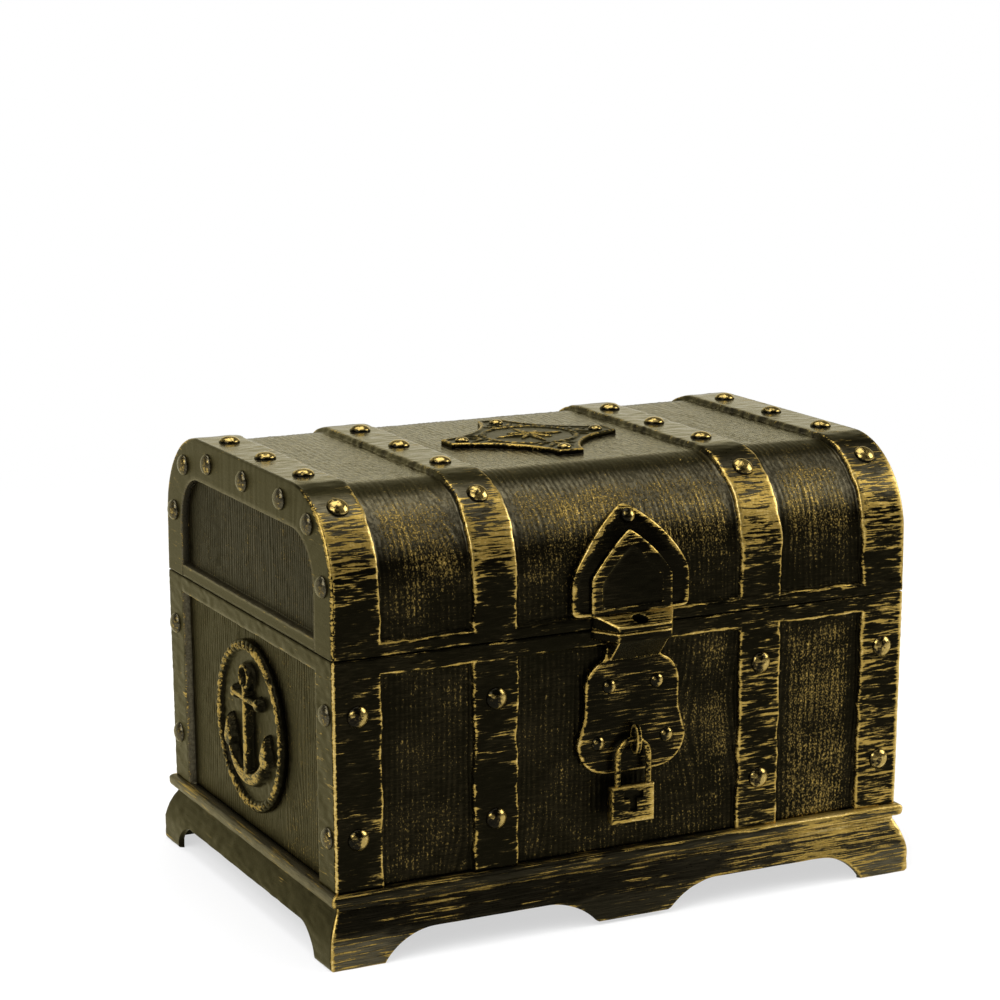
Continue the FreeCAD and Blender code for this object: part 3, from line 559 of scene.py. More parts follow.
STUD_LOOK = dict(SHELL_LOOK, stroke=(1.8, 1.0), rub=0.75, strokes=0.7, hairs=0.5, specks=0.8, patches=0.3,
                 rough=0.26, gold_rough=0.20, metal=0.95, bump=0.15, coat=0.05)
PADLOCK_LOOK = dict(SHELL_LOOK, stroke=(5.0, 0.5), rub=0.6, strokes=2.0, gold_rough=0.33)


def finish_of(kind):
    """The finish of a kind of piece, made the first time that it is asked for."""
    made = bpy.data.materials.get(kind)
    if made:
        return made
    tint = bpy.context.scene.chest_colours
    shell, worn, plate = tuple(tint.shell), tuple(tint.shell_worn), tuple(tint.plate)
    gold, pale = tuple(tint.gold), tuple(tint.pale_gold)
    kinds = {
        "brushed_shell": (shell, worn, gold, SHELL_LOOK), "brushed_plate": (plate, worn, gold, PLATE_LOOK),
        "brushed_relief": (shell, worn, gold, RELIEF_LOOK), "gilt_padlock": (plate, worn, gold, PADLOCK_LOOK),
        "brushed_plinth": (shell, worn, gold, PLINTH_LOOK),
        "gilt_stud": (shell, worn, tuple(tint.stud_gold), STUD_LOOK),
    }
    under, over, leaf, look = kinds[kind]
    return aged_finish(kind, under, over, leaf, pale, look)


def steel_finish():
    """Dulled steel with fine rings of turning along x and darker spots."""
    finish = Finish(bpy.data.materials.new("pin_steel"))
    place = finish.place()
    rings = finish.noise(finish.scaled(place, (6.0, 0.2, 0.2)), 2.0, 0.6)
    spots = finish.noise(place, 3.0, 0.6)
    steel = tuple(bpy.context.scene.chest_colours.steel)
    dark = tuple(part * 0.35 for part in steel)
    base = finish.mix(finish.step(spots + (rings - 0.5) * 0.5, 0.42, 0.62), dark, steel)
    bump = finish.node("ShaderNodeBump", None, {"Strength": 0.3, "Distance": 0.05 * MM, "Height": rings})
    shader = finish.node("ShaderNodeBsdfPrincipled", None, {
        "Base Color": base, "Metallic": 0.9, "Roughness": 0.3 + spots * 0.3, "Normal": bump.outputs[0]})
    return finish.close(shader.outputs[0])


# The box


def rounded_plan(along, half, out, radius):
    """Plan of one wall between two corners: straight, then an eighth turn of the corner's radius at each
    end. Gives the place along the wall, the distance out and the outward direction's two parts."""
    side = np.sign(along)
    turn = np.maximum(np.abs(along) - (half - radius), 0) / radius
    across = side * (np.minimum(np.abs(along), half - radius) + radius * np.sin(turn))
    return across, out - radius * (1 - np.cos(turn)), side * np.sin(turn), np.cos(turn)


def lean_at(mm, height):
    """How far the box's walls lean in at a height: not at all at the rim, and fully at the plinth."""
    return mm.lean * (mm.parting - height) / (mm.parting - mm.plinth_top)


def strap_sides(mm, half, frame_width, straps):
    """Places along a wall of the edges of its straps and corner posts."""
    inner = [centre + side * mm.strap_width / 2 for centre in straps for side in (-1, 1)]
    return inner + [side * (half - frame_width) for side in (-1, 1)]


def over_straps(mm, along, half, frame_width, straps):
    """Distance inside the nearest strap or corner post, which is below nought beside them."""
    raised = np.abs(along) - (half - frame_width)
    for centre in straps:
        raised = np.maximum(raised, mm.strap_width / 2 - np.abs(along - centre))
    return raised


def ragged_edge(along, height, seed, quick=0.42, slow=0.5):
    """How far a strap's edge strays: quick and slow noise, each about nought."""
    return (quick * (noise(along / 1.7, height / 1.1, seed) - 0.5)
            + slow * (noise(along / 6, height / 4.5, seed + 1) - 0.5))


def sunk_panel(mm, along, height, flat, rise, seed):
    """Grain lines where flat is 0, and the height of the face: a rise below the straps there, with the lines
    standing on it."""
    grain = wood_grain(along, height, seed + 3, mm.grain_pitch) * (1 - flat)
    return grain, -rise * (1 - flat) + mm.grain_depth * (grain - 0.3 * (1 - flat))


def panel_relief(mm, along, height, half, frame_width, straps, rise, seed):
    """Relief of one wall: raised straps, corner posts and rail with ragged eased edges, and grain lines on
    the panels behind them. Gives the height over the strap face and the marks for the finish."""
    ragged = ragged_edge(along, height, seed) * (1.0 if straps else 0.3)
    raised = over_straps(mm, along, half, frame_width, straps)
    rail = height - mm.rail_foot
    both = np.maximum(raised, rail) + ragged
    flat = smooth(-EDGE_EASE, EDGE_EASE, both)
    grain, relief = sunk_panel(mm, along, height, flat, rise, seed)
    lumps = 0.16 * (noise(along / 2.6, height / 0.9, seed + 5) - 0.5)
    crest = bell(both - CREST, 0.34)
    relief = relief + flat * (lumps - 0.1 * crest)
    falling = np.gradient(raised, axis=0) < 0
    chipped = 0.25 + 1.1 * noise(along / 3.0, height / 1.5, seed + 8)
    weight = np.where(rail > raised, 0.85, np.where(falling, 0.95, 0.7) * chipped)
    near = np.exp(-np.maximum(both, 0) / 1.5) * flat * np.where(rail > raised, 0.1, weight)
    marks = {"rub": crest * weight, "near": near, "grain": grain, "flat": flat,
             "margin": smooth(0.8, 4.5, -both)}
    return relief, marks


def make_wall(mm, quarters):
    """One wall of the box as a closed loop carried along it: up the relief outside, over the rounded rim
    and down the lining. Quarter turns from the front pick the side."""
    ends = quarters % 2 == 1
    half, out = (mm.half_depth, mm.half_width) if ends else (mm.half_width, mm.half_depth)
    rise, next_rise = (mm.end_recess, mm.strap_rise) if ends else (mm.strap_rise, mm.end_recess)
    frame_width = mm.end_frame if ends else mm.end_strap
    straps = () if ends else mm.straps
    limit = half - mm.corner + mm.corner * math.pi / 4
    edges = [-limit, limit, *strap_sides(mm, half, frame_width, straps)]
    columns = places(-limit, limit, edges, 0.34, 0.14, 0.5)
    rows = places(mm.plinth_top, mm.parting, [mm.rail_foot, mm.parting], 0.55, 0.15, 0.4)
    along, z = np.meshgrid(columns, rows, indexing="ij")
    relief, seen = panel_relief(mm, along, z, half, frame_width, straps, rise, 20 + 10 * quarters)
    lean = lean_at(mm, z)
    x, y, x_way, y_way = rounded_plan(along, half, out, mm.corner)
    rim = 0.45
    over = np.clip((z - (mm.parting - rim)) / rim, 0, 1)
    relief = relief - rim * (1 - np.sqrt(1 - over * over))
    outside = stacked((x * (half - lean) / half + relief * x_way), -(y - lean + relief * y_way), z)
    inner_half, inner_out = half - next_rise - mm.wall, out - rise - mm.wall
    down = mm.parting - (mm.parting - mm.plinth_top) * np.array([0.0, 0.006, 0.05, 0.3, 0.6, 0.9, 1.0])
    share, inner_z = np.meshgrid(columns / limit, down, indexing="ij")
    lean = lean_at(mm, inner_z)
    eased = np.where(inner_z > mm.parting - 0.1, 0.25, 0.0)
    inside = stacked(share * (inner_half - lean), -(inner_out - lean + eased), inner_z)
    points = quarter_turned(np.concatenate([outside, inside], 1), quarters)
    to_corner = limit - np.abs(along)
    corner = bell(to_corner, np.where(along > 0, 0.8, 0.38))
    patch = noise(along / 9, z / 7, 71 + quarters)
    rightward = smooth(0, 45, along)
    on_rail = smooth(0, 1.2, z - mm.rail_foot)
    strap_brush = 0.10 + 0.30 * (patch - 0.5) + 0.42 * seen["near"] + 0.27 * rightward - 0.14 * on_rail
    panel_brush = (-0.03 + 0.12 * patch + 0.33 * rightward) * seen["margin"]
    brush = seen["flat"] * strap_brush + (1 - seen["flat"]) * panel_brush
    brim = bell(mm.parting - 0.3 - z, 0.28) * (0.3 + noise(along / 7, z, 79))
    rub = np.maximum.reduce([seen["rub"], 2.3 * corner, 0.5 * brim])
    marks = {"grain": seen["grain"], "panel": 1 - seen["flat"]}
    if ends:
        on_left = quarters == 3
        front_side = (along > 0) == on_left
        # pale sets the painted sheen on an end wall, a lighter bronze along its strap crests and on the slopes
        # away from the front: more on the left end, which faces the light.
        gilt, pale = (0.55, 0.55) if on_left else (0.9, 0.25)
        brush = brush * gilt - 0.1 * pale
        rub = np.maximum(seen["rub"] * gilt, bell(to_corner, 0.35) * np.where(front_side, 2.2, gilt))
        slope = 4 * seen["flat"] * (1 - seen["flat"]) * ~front_side
        marks["painted_sheen"] = pale * np.maximum(seen["rub"], 0.9 * slope)
        marks["end"] = 1.0
    return carried_loop(points, lined({**marks, "rub": rub, "brush": brush}, z.shape, len(down), end=1.0))


def make_floor_plate(mm):
    """Floor of the box, as rings that shrink from its edge to the middle, above and below: a rounded
    rectangle scaled by each ring's share."""
    inset = mm.lean + 3.0
    half = np.array([mm.half_width - inset, mm.half_depth - inset])
    plan = signed_power(round_ways(160), 0.06) * half
    scale = np.array([0.25, 0.5, 0.75, 0.95, 1.0, 1.0, 0.95, 0.5, 0.25])
    level = np.array([0, 0, 0, 0, -0.1, -2.3, -2.4, -2.4, -2.4]) + mm.plinth_top
    points = stacked(scale[:, None] * plan[:, 0], scale[:, None] * plan[:, 1], level[:, None])
    return between_poles(points, (0, 0, level[0]), (0, 0, level[-1]), {"inside": 1.0})


def extruded(outline, low, high, edge, marks):
    """Prism along x of a closed outline in y and z, with its end rims eased by an edge: the outline shrinks
    towards its middle over the last stretch."""
    middle = outline.mean(0)
    span = np.array([low, low + edge * 0.3, low + edge, high - edge, high - edge * 0.3, high])
    reach = np.linalg.norm(outline - middle, axis=1).mean()
    shrink = 1 - np.array([edge, edge * 0.3, 0, 0, edge * 0.3, edge]) / reach
    ring = middle + (outline - middle)[None] * shrink[:, None, None]
    points = stacked(span[:, None] * np.ones(len(outline)), ring[..., 0], ring[..., 1])
    return carried_loop(points, marks)


def joint_place(name):
    """Depth and height of a joint's axis, in millimetres, from the frame."""
    joint = next(joint for joint in frame["joints"] if joint["name"] == name)
    return joint["pos_m"][1] / MM, joint["pos_m"][2] / MM


def barrel(start, end):
    """Points round the hinge barrel between two angles from the backward direction."""
    y, z = joint_place("lid_hinge")
    turn = np.radians(np.linspace(start, end, 28))
    return np.stack([y + BARREL * np.cos(turn), z + BARREL * np.sin(turn)], -1)


def hinge_spans(mm, fixed):
    """Stretches along the pins that the box's knuckles hold, or the lid's."""
    half, mid, gap = 11.0, 4.6, 0.3
    spans = []
    for centre in mm.straps:
        if fixed:
            spans += [(centre - half, centre - mid - gap), (centre + mid + gap, centre + half)]
        else:
            spans += [(centre - mid, centre + mid)]
    return spans


def make_box_hinges(mm):
    """Fixed knuckles: a barrel round the axis whose web runs down to the back wall."""
    root = mm.half_depth - mm.strap_rise / 2
    web_drop = 5.0
    web = [(root, mm.parting), (root, joint_place("lid_hinge")[1] - web_drop)]
    outline = np.vstack([web, barrel(-90, 183)])
    return [extruded(outline, *span, KNUCKLE_EDGE, HINGE_MARKS) for span in hinge_spans(mm, True)]


def make_lid_hinges(mm):
    """Moving knuckles: a barrel with a web to the lid's rim and a stop heel that points back."""
    root = mm.half_depth - mm.strap_rise / 2
    y, z = joint_place("lid_hinge")
    outline = np.vstack([[(root, z + BARREL), (root, mm.lid_foot)], barrel(177, 450)])
    open_turn = math.radians(108)
    cos, sin = math.cos(open_turn), math.sin(open_turn)
    heel = np.array([(-2.75, -3.9), (-0.1, -3.9), (-0.1, 0.0), (-2.75, 0.0)])
    lug = np.stack([y + heel[:, 0] * cos - heel[:, 1] * sin, z + heel[:, 0] * sin + heel[:, 1] * cos], -1)
    return [extruded(section, *span, KNUCKLE_EDGE, HINGE_MARKS)
            for span in hinge_spans(mm, False) for section in (outline, lug)]


# The lid


def arch_at(mm, run, inset):
    """Depth and height on the lid's cross-section, set in by inset, at a run measured round its outside:
    up the front, round a quarter turn, over the top and down the back in mirror image."""
    up = mm.shoulder_z - mm.lid_foot
    total = arch_length(mm)
    near = np.minimum(run, total - run)
    side = np.where(run < total / 2, -1.0, 1.0)
    turn = np.clip((near - up) / mm.shoulder, 0, math.pi / 2)
    flat = np.maximum(near - up - mm.shoulder * math.pi / 2, 0)
    y = side * (mm.shoulder_y + (mm.shoulder - inset) * np.cos(turn) - flat)
    z = mm.lid_foot + np.minimum(near, up) + (mm.shoulder - inset) * np.sin(turn)
    return y, z


def arch_length(mm):
    """Length round the lid's outside from the front rim to the back rim."""
    return 2 * (mm.shoulder_z - mm.lid_foot + mm.shoulder * math.pi / 2 + mm.shoulder_y)


def make_vault(mm):
    """Lid shell as a closed loop carried round the arch. The loop runs from the left end panel's edge out
    over the hoop, across the straps and panels, over the right hoop, and back along the lining."""
    half = mm.half_width
    deep = half - mm.end_recess
    left = [(-deep, mm.end_frame), (-half, mm.end_frame), (-half, 0.0), (0.0, 0.0)]
    inner_round, outer_round, tuck = 0.4, 0.7, 5.0
    edge_points, edge_normals = filleted(left, (0, inner_round, outer_round, 0), 0.9)
    keep = edge_points[:, 0] < -half + outer_round + 0.05
    end_points, end_normals = edge_points[keep], edge_normals[keep]
    count = len(end_points)
    limit = -end_points[-1, 0] - 0.05
    across = places(-limit, limit, strap_sides(mm, half, mm.end_strap, mm.straps), 0.46, 0.15, 0.45)
    flip = np.array([-1.0, 1.0])
    base = np.vstack([end_points, np.stack([across, np.zeros(across.shape)], -1), end_points[::-1] * flip])
    level = np.broadcast_to((0.0, -1.0), (len(across), 2))
    normal = np.vstack([-end_normals, level, -end_normals[::-1] * flip])
    for part, outward in ((slice(None, count), (-1, -1)), (slice(-count, None), (1, -1))):
        normal[part] *= np.sign((normal[part] * outward).sum(1))[:, None]
    ends = np.concatenate([np.ones(count), np.zeros(len(across)), np.ones(count)])[:, None]
    total = arch_length(mm)
    up = mm.shoulder_z - mm.lid_foot
    seen_run = places(0, total * 0.6, [0, mm.rim], 0.75, 0.2, 0.4)
    back_run = places(total * 0.6, total, [total - mm.rim, total], 1.5, 0.3, 0.4)[1:]
    run = np.concatenate([seen_run, back_run])[None, :]
    x = base[:, :1]
    near = np.minimum(run, total - run)
    seed = 160
    raised = over_straps(mm, x, half, mm.end_strap, mm.straps)
    rim = mm.rim - near
    both = np.maximum(raised, rim) + ragged_edge(x, run, seed)
    flat = np.maximum(smooth(-EDGE_EASE, EDGE_EASE, both), ends)
    grain, relief = sunk_panel(mm, x, run, flat, mm.strap_rise, seed)
    lumps = 0.16 * (noise(x / 2.6, run / 0.9, seed + 5) - 0.5) * (1 - 0.6 * ends)
    crest = bell(both - CREST, 0.30) * (1 - ends)
    relief = relief + flat * (lumps - 0.1 * crest) - 0.1
    section = base[:, None, :] + relief[..., None] * normal[:, None, :]
    y, z = arch_at(mm, run, section[..., 1])
    outside = stacked(section[..., 0], y, z)
    inner = deep - mm.wall
    back_x = np.concatenate([[inner, inner], np.linspace(inner, -inner, 60), [-inner, -inner]])
    channel = over_straps(mm, back_x, half, mm.end_strap, mm.straps) > mm.wall
    back_inset = mm.wall + np.where(channel, 0.0, mm.strap_rise)
    back_inset[:2] = (mm.end_frame, tuck)
    back_inset[-2:] = (tuck, mm.end_frame)
    y, z = arch_at(mm, run, back_inset[:, None] + 0 * run)
    points = np.concatenate([outside, stacked(back_x[:, None], y, z)], 0)
    turn = np.degrees(np.clip((near - up) / mm.shoulder, 0, math.pi / 2))
    front = run < total / 2
    shoulder = np.where(front, smooth(-10, 12, near - up) * (1 - smooth(46, 62, turn)), 0.3)
    patch = noise(x / 9, run / 7, 191)
    flat_top = smooth(62, 88, turn)
    falling = np.gradient(raised, axis=0) < 0
    chipped = 0.35 + 1.0 * noise(x / 3.0, run / 1.5, seed + 8)
    chipped = chipped + (1 - chipped) * shoulder
    weight = np.where(rim > raised, 0.75, np.where(falling, 1.0, 0.75) * chipped) * (1 - 0.45 * flat_top)
    near_edge = np.exp(-np.maximum(both, 0) / 1.5) * np.where(rim > raised, 0.1, weight) * (1 - ends)
    on_rim = smooth(0, 1.2, rim)
    strap_brush = 0.17 + 0.46 * shoulder + 0.26 * (patch - 0.5) + 0.42 * near_edge - 0.14 * on_rim
    panel_brush = (0.01 + 0.12 * patch + 0.32 * shoulder) * smooth(0.8, 4.5, -both)
    on_left = x < 0
    dulled = ends * np.where(on_left, 1.0, 0.2)
    brush = (flat * strap_brush + (1 - flat) * panel_brush) * (1 - 0.5 * flat_top)
    brush = brush * (1 - 0.6 * dulled) - 0.1 * dulled
    wide = np.where(x > 0, 1.1, 0.8)
    outer_edge = np.exp(-((base[:, 1:] ** 2 + (half - np.abs(x)) ** 2) / wide ** 2))
    brim = bell(near - 0.3, 0.28) * (1 - 0.5 * ends) * (0.3 + noise(x / 7, run, 179))
    hoop_edge = ends * bell(base[:, 1:] - mm.end_frame, 0.5)
    rub = np.maximum.reduce([crest * weight, (1.6 - 1.1 * flat_top) * outer_edge, 0.5 * brim])
    rub = np.maximum(rub, np.where(on_left, 0.45, 0.7) * hoop_edge)
    # Painted sheen: a band on the front shoulder, the flat top and the hoops' edges get a lighter bronze in place
    # of the reflections seen there. The rising left edge of each strap keeps less of it, which leaves a painted
    # shadow line along it.
    sheen = smooth(16, 36, turn) * (1 - smooth(56, 70, turn)) * front
    shadowed_edge = np.clip(4 * flat * (1 - flat), 0, 1) * ~falling
    top = smooth(82, 89.5, turn) * (1 - ends) * (1 - 0.85 * shadowed_edge)
    painted_sheen = np.maximum(0.36 * top, 0.36 * sheen * (1 - ends) * (1 - 0.85 * shadowed_edge))
    painted_sheen = np.maximum(painted_sheen, np.where(on_left, 0.55, 0.25) * hoop_edge)
    marks = {"rub": rub, "brush": brush, "grain": grain, "panel": 1 - flat, "painted_sheen": painted_sheen, "top": top,
             "end": ends}
    along_run = {name: np.broadcast_to(values, brush.shape).T for name, values in marks.items()}
    return carried_loop(points.swapaxes(0, 1), lined(along_run, brush.T.shape, len(back_x)))


def make_lid_end(mm, side):
    """End of the lid inside its hoop: a grained panel under the arch over a flush rail, closed behind.
    Columns stand at each depth, and rows share out the height up to the arch."""
    tuck = 0.4
    reach = mm.half_depth - mm.end_frame + tuck
    inset = mm.end_frame - tuck
    depth = places(-reach, reach, [-reach, reach], 0.34, 0.2, 0.6)
    low = places(mm.lid_foot, mm.rim_top + 0.6, [mm.rim_top], 0.6, 0.14, 0.4)
    high = np.linspace(0, 1, 44)[1:]
    over = np.maximum(np.abs(depth) - mm.shoulder_y, 0)
    crown = mm.shoulder_z + np.sqrt(np.maximum((mm.shoulder - inset) ** 2 - over ** 2, 0))
    y, rows = np.meshgrid(depth, np.concatenate([low, high]), indexing="ij")
    upper = low[-1] + rows * (crown[:, None] - low[-1])
    z = np.where(np.arange(rows.shape[1]) < len(low), rows, upper)
    seed = 230 + side
    both = mm.rim_top - z + ragged_edge(y, z, seed, 0.12, 0.12)
    flat = smooth(-EDGE_EASE, EDGE_EASE, both)
    grain, relief = sunk_panel(mm, y, z, flat, mm.end_recess, seed)
    relief = relief - 0.15
    outside = stacked(side * (mm.half_width + relief), y, z)
    share_up = np.array([1.0, 0.6, 0.25, 0.0])
    inner_z = mm.lid_foot + share_up[None, :] * (crown[:, None] - mm.lid_foot)
    inner_x = np.full(inner_z.shape, side * (mm.half_width - mm.end_recess - mm.wall))
    inside = stacked(inner_x, depth[:, None], inner_z)
    crest = bell(both - CREST, 0.30)
    # pale sets a painted highlight line of lighter bronze along the rail's crest, more on the left end, which
    # faces the light. The end mark of 4.6 on the sunk panel lowers its metal and darkens it: painted shade in the
    # recess.
    gilt, pale = (0.45, 0.55) if side < 0 else (0.75, 0.25)
    brush = (gilt - 0.50) * 0.4 + 0.08 * noise(y / 15, z / 12, seed + 7)
    marks = {"rub": gilt * crest, "brush": brush, "grain": grain, "panel": 1 - flat, "painted_sheen": pale * crest,
             "end": 4.6 - 3.6 * flat}
    return carried_loop(np.concatenate([outside, inside], 1), lined(marks, y.shape, len(share_up), end=1.0))


# The plinth


def cove(distance, run, rise):
    """Height of a round cove that is level at its high end, a distance away from that end."""
    radius = (run * run + rise * rise) / (2 * rise)
    away = np.clip(distance, 0, run)
    return rise - radius + np.sqrt(radius * radius - away * away)


def apron_edge(mm, along, ends):
    """Height of the plinth's lower edge along one side: down on the feet, up under the apron in round coves,
    and on the long sides down again to a drop in the middle."""
    place = np.abs(along)
    half = (mm.half_depth if ends else mm.half_width) + mm.overhang
    foot = half - (mm.foot_depth if ends else mm.foot_width)
    run = 9.0 if ends else 13.0
    edge = cove(place - (foot - run), run, mm.apron)
    if not ends:
        drop_half, drop_run, clear = 10.0, 13.6, 1.0
        drop = clear + cove(drop_half + drop_run - place, drop_run, mm.apron - clear)
        edge = np.minimum(edge, drop)
    return np.maximum(edge, 0.0)


def moulding(mm, height):
    """How far the plinth's face stands out from the box at each height: foot, ovolo flare, groove and half
    round bead."""
    bead, groove, flare = 3.2, 1.0, 7.4
    step_in, swell, bead_out = -0.7, 0.4, 1.8
    bead_foot = mm.plinth_top - bead
    foot_top = bead_foot - groove - flare
    t = np.clip((height - foot_top) / flare, 0, 1)
    out = mm.overhang + (step_in - mm.overhang) * t + 4 * swell * t * (1 - t)
    share = np.clip((height - bead_foot) / bead, 0, 1)
    out = out + bead_out * np.maximum(1 - np.abs(2 * share - 1) ** 3, 0) ** 0.4
    return out - 0.35 * np.maximum(1 - height / 0.4, 0)


def make_plinth(mm):
    """Plinth as a moulding carried round the box: down its face, under the lower edge and up the inside.
    Rows below the flare are shared out between it and the lower edge."""
    knee, groove_low, groove_high, bead_high = 9.0, 13.4, 14.4, 17.3
    round_off, ledge = 0.7, 13.6
    high = places(knee, mm.plinth_top, [groove_low, groove_high, mm.plinth_top], 0.5, 0.12, 0.5)[::-1]
    low = np.concatenate([np.linspace(1, 0.12, 12), [0.06, 0.0]])[1:]
    sides = []
    for quarters in range(4):
        ends = quarters % 2 == 1
        half, out = (mm.half_depth, mm.half_width) if ends else (mm.half_width, mm.half_depth)
        full = half + mm.overhang
        foot = full - (mm.foot_depth if ends else mm.foot_width)
        edges = [-1, 1, foot / full, -foot / full]
        share = places(-1, 1, edges, 0.8 / full, 0.25 / full, 1.2 / full)[:-1, None]
        edge = apron_edge(mm, share * full, ends)
        z = np.hstack([np.broadcast_to(high, (len(share), len(high))), edge + (knee - edge) * low])
        place = np.broadcast_to(share * full, z.shape)
        seed = 300 + quarters
        stand = moulding(mm, z) - 0.18 * noise(place / 3.2, z / 0.8, seed)
        limit = half + stand - round_off + round_off * math.pi / 4
        x, y, _, _ = rounded_plan(share * limit, half + stand, out + stand, round_off)
        behind = edge + 0.3 * (ledge - edge)
        inner_z = np.hstack([edge, behind, np.broadcast_to((ledge, ledge, mm.plinth_top), (len(share), 3))])
        inner_in = np.hstack([moulding(mm, edge) - 1.1, moulding(mm, behind) - 1.5,
                              np.broadcast_to((-2.9, -3.3, -3.3), (len(share), 3))])
        inner = stacked(share * (half + inner_in), -(out + inner_in), inner_z)
        points = quarter_turned(np.concatenate([stacked(x, -y, z), inner], 1), quarters)
        rightward = smooth(-5, 70, place)
        broken = 0.25 + 1.1 * noise(place / 6, z / 3, seed + 5)
        on_bead = smooth(groove_high - 0.1, groove_high + 0.4, z)
        bead_line = bell(z - bead_high, 0.35) + bell(z - (groove_high + 0.5), 0.35)
        flare_line = bell(z - (groove_low - 0.2), 0.4)
        lines = np.maximum((0.65 + 0.35 * rightward) * bead_line, 0.6 * flare_line) * broken
        lower_line = bell(z - edge, 0.5) * broken
        corner = bell((1 - np.abs(share)) * full, np.where(share > 0, 1.4, 0.5))
        rub = np.maximum.reduce([lines, 0.7 * lower_line, np.broadcast_to(1.5 * corner, z.shape)])
        patch = noise(place / 9, z / 5, seed + 3)
        on_foot = smooth(foot - 10, foot + 4, np.abs(place)) * (1 - smooth(5, 9, z))
        level = 0.22 + 0.40 * rightward * (1 - 0.4 * on_foot) + 0.26 * on_foot * (place < 0)
        # Painted sheen: a lighter bronze on the plinth, rising to the right and on the feet, and on the left end's
        # bead.
        painted_sheen = 0.06 + 0.16 * rightward + on_foot * np.where(place < 0, 0.36, 0.22)
        if quarters == 3:
            level = 0.06 * on_foot + 0.30 * on_bead
            painted_sheen = 0.45 * on_bead
            rub = np.maximum(0.2 * lines, 1.4 * bell((1 - share) * full, 0.4))
        marks = {"rub": rub, "brush": level + 0.25 * (patch - 0.5), "end": float(ends), "painted_sheen": painted_sheen}
        sides.append((points, lined(marks, z.shape, inner.shape[1], inside=0.0)))
    points = np.concatenate([side_points for side_points, _ in sides])
    marks = {mark: np.concatenate([side_marks[mark] for _, side_marks in sides]) for mark in sides[0][1]}
    return carried_loop(points, marks, closed=True)


# Studs and fittings


def stud_seats(node):
    """Seats of a CAD node's stud heads: the base centre, outward direction and radius of each. A stud's
    points are told apart by nearness, and its flat base is its widest ring."""
    mesh = frame["nodes"][node].data
    raw = np.empty(len(mesh.vertices) * 3, np.float32)
    mesh.vertices.foreach_get("co", raw)
    points = np.unique(np.round(raw.reshape(-1, 3) / MM, 3), axis=0)
    one_stud = 6.0
    seats = []
    left = np.ones(len(points), bool)
    while left.any():
        first = points[np.argmax(left)]
        group = left & (np.linalg.norm(points - first, axis=1) < one_stud)
        mine = points[group]
        left &= ~group
        centre = mine.mean(0)
        axis = np.linalg.eigh(np.cov((mine - centre).T))[1][:, 0]
        rise = (mine - centre) @ axis
        wide = np.linalg.norm(mine - centre - rise[:, None] * axis, axis=1)
        radius = wide.max()
        rim = wide > radius * 0.97
        if rise[rim].mean() > rise[~rim].mean():
            axis = -axis
        seats.append((mine[rim].mean(0), axis, radius))
    return seats


def make_stud(base, way, radius, rise, seed):
    """Stud head: a dome of revolution on its seat. Its height falls as the root of 1 - radius share to a
    power, with a thin rolled skirt, and slow noise dents it slightly."""
    turn = round_turn(40)
    share_out = np.sin(np.linspace(0.08, math.pi / 2, 13))
    lift = (1 - share_out ** 2.3) ** 0.62
    rings = np.concatenate([share_out, [1.0, 0.9]])
    level = np.concatenate([lift * rise, [-0.15, -0.2]])
    round_place = np.cos(turn) + np.sin(turn) * 1.3 + seed
    dent = 1 + 0.05 * (noise(rings[:, None] * 2 + seed * 7.3, round_place, 40) - 0.5)
    helper = np.array([0.0, 0.0, 1.0]) if abs(way[2]) < 0.9 else np.array([0.0, 1.0, 0.0])
    right = np.cross(helper, way)
    right = right / np.linalg.norm(right)
    up = np.cross(way, right)
    plane = np.cos(turn)[:, None] * right + np.sin(turn)[:, None] * up
    points = (base + radius * 0.99 * rings[:, None, None] * plane[None]
              + (level[:, None] * dent)[..., None] * way)
    lean = (points - base) / radius
    # Painted light on the domes: more gold on the side towards the light at the right, less gold on the left-end
    # studs, which get painted sheen instead.
    toward_light = lean[..., 0] * (1 - abs(way[0])) - lean[..., 1] * abs(way[0]) - 0.15 * lean[..., 2]
    dome = np.concatenate([smooth(0.02, 0.4, lift), [0, 0]])[:, None]
    on_side = smooth(0.5, 0.9, -way[0])
    on_top = smooth(0.5, 0.95, way[2])
    on_front = smooth(0.5, 0.9, -way[1])
    rub = dome * ((0.30 + 0.75 * smooth(-0.25, 0.55, toward_light)) * (1 - 0.45 * on_side) + 0.5 * on_top)
    # Painted highlight: a spot of gold at the upper left of each front stud, where the light's reflection falls.
    painted_glint = np.exp(-((lean[..., 0] + 0.55) ** 2 + (lean[..., 2] - 0.35) ** 2) / 0.2 ** 2)
    brush = 0.12 + 0.2 * smooth(0, 60, base[0]) * on_front
    marks = {"rub": rub + 1.1 * painted_glint * on_front, "brush": brush, "painted_sheen": 0.4 * on_side}
    return between_poles(points, base + way * rise, base - way * 0.2, marks)


def rings_inwards(outline, insets, shrinks):
    """Rings from a closed outline: first moved in along its normals by each inset, then shrunk towards the
    middle by each share."""
    ahead = np.roll(outline, -1, 0) - outline
    behind = outline - np.roll(outline, 1, 0)
    way = ahead / np.linalg.norm(ahead, axis=1)[:, None] + behind / np.linalg.norm(behind, axis=1)[:, None]
    way = way / np.linalg.norm(way, axis=1)[:, None]
    inward = np.stack([-way[:, 1], way[:, 0]], -1)
    x, y = outline[:, 0], outline[:, 1]
    if (x * np.roll(y, -1) - y * np.roll(x, -1)).sum() < 0:
        inward = -inward
    near = outline[None] + np.asarray(insets)[:, None, None] * inward[None]
    middle = outline.mean(0)
    deep = middle + (near[-1] - middle)[None] * np.asarray(shrinks)[:, None, None]
    return np.concatenate([near, deep], 0)


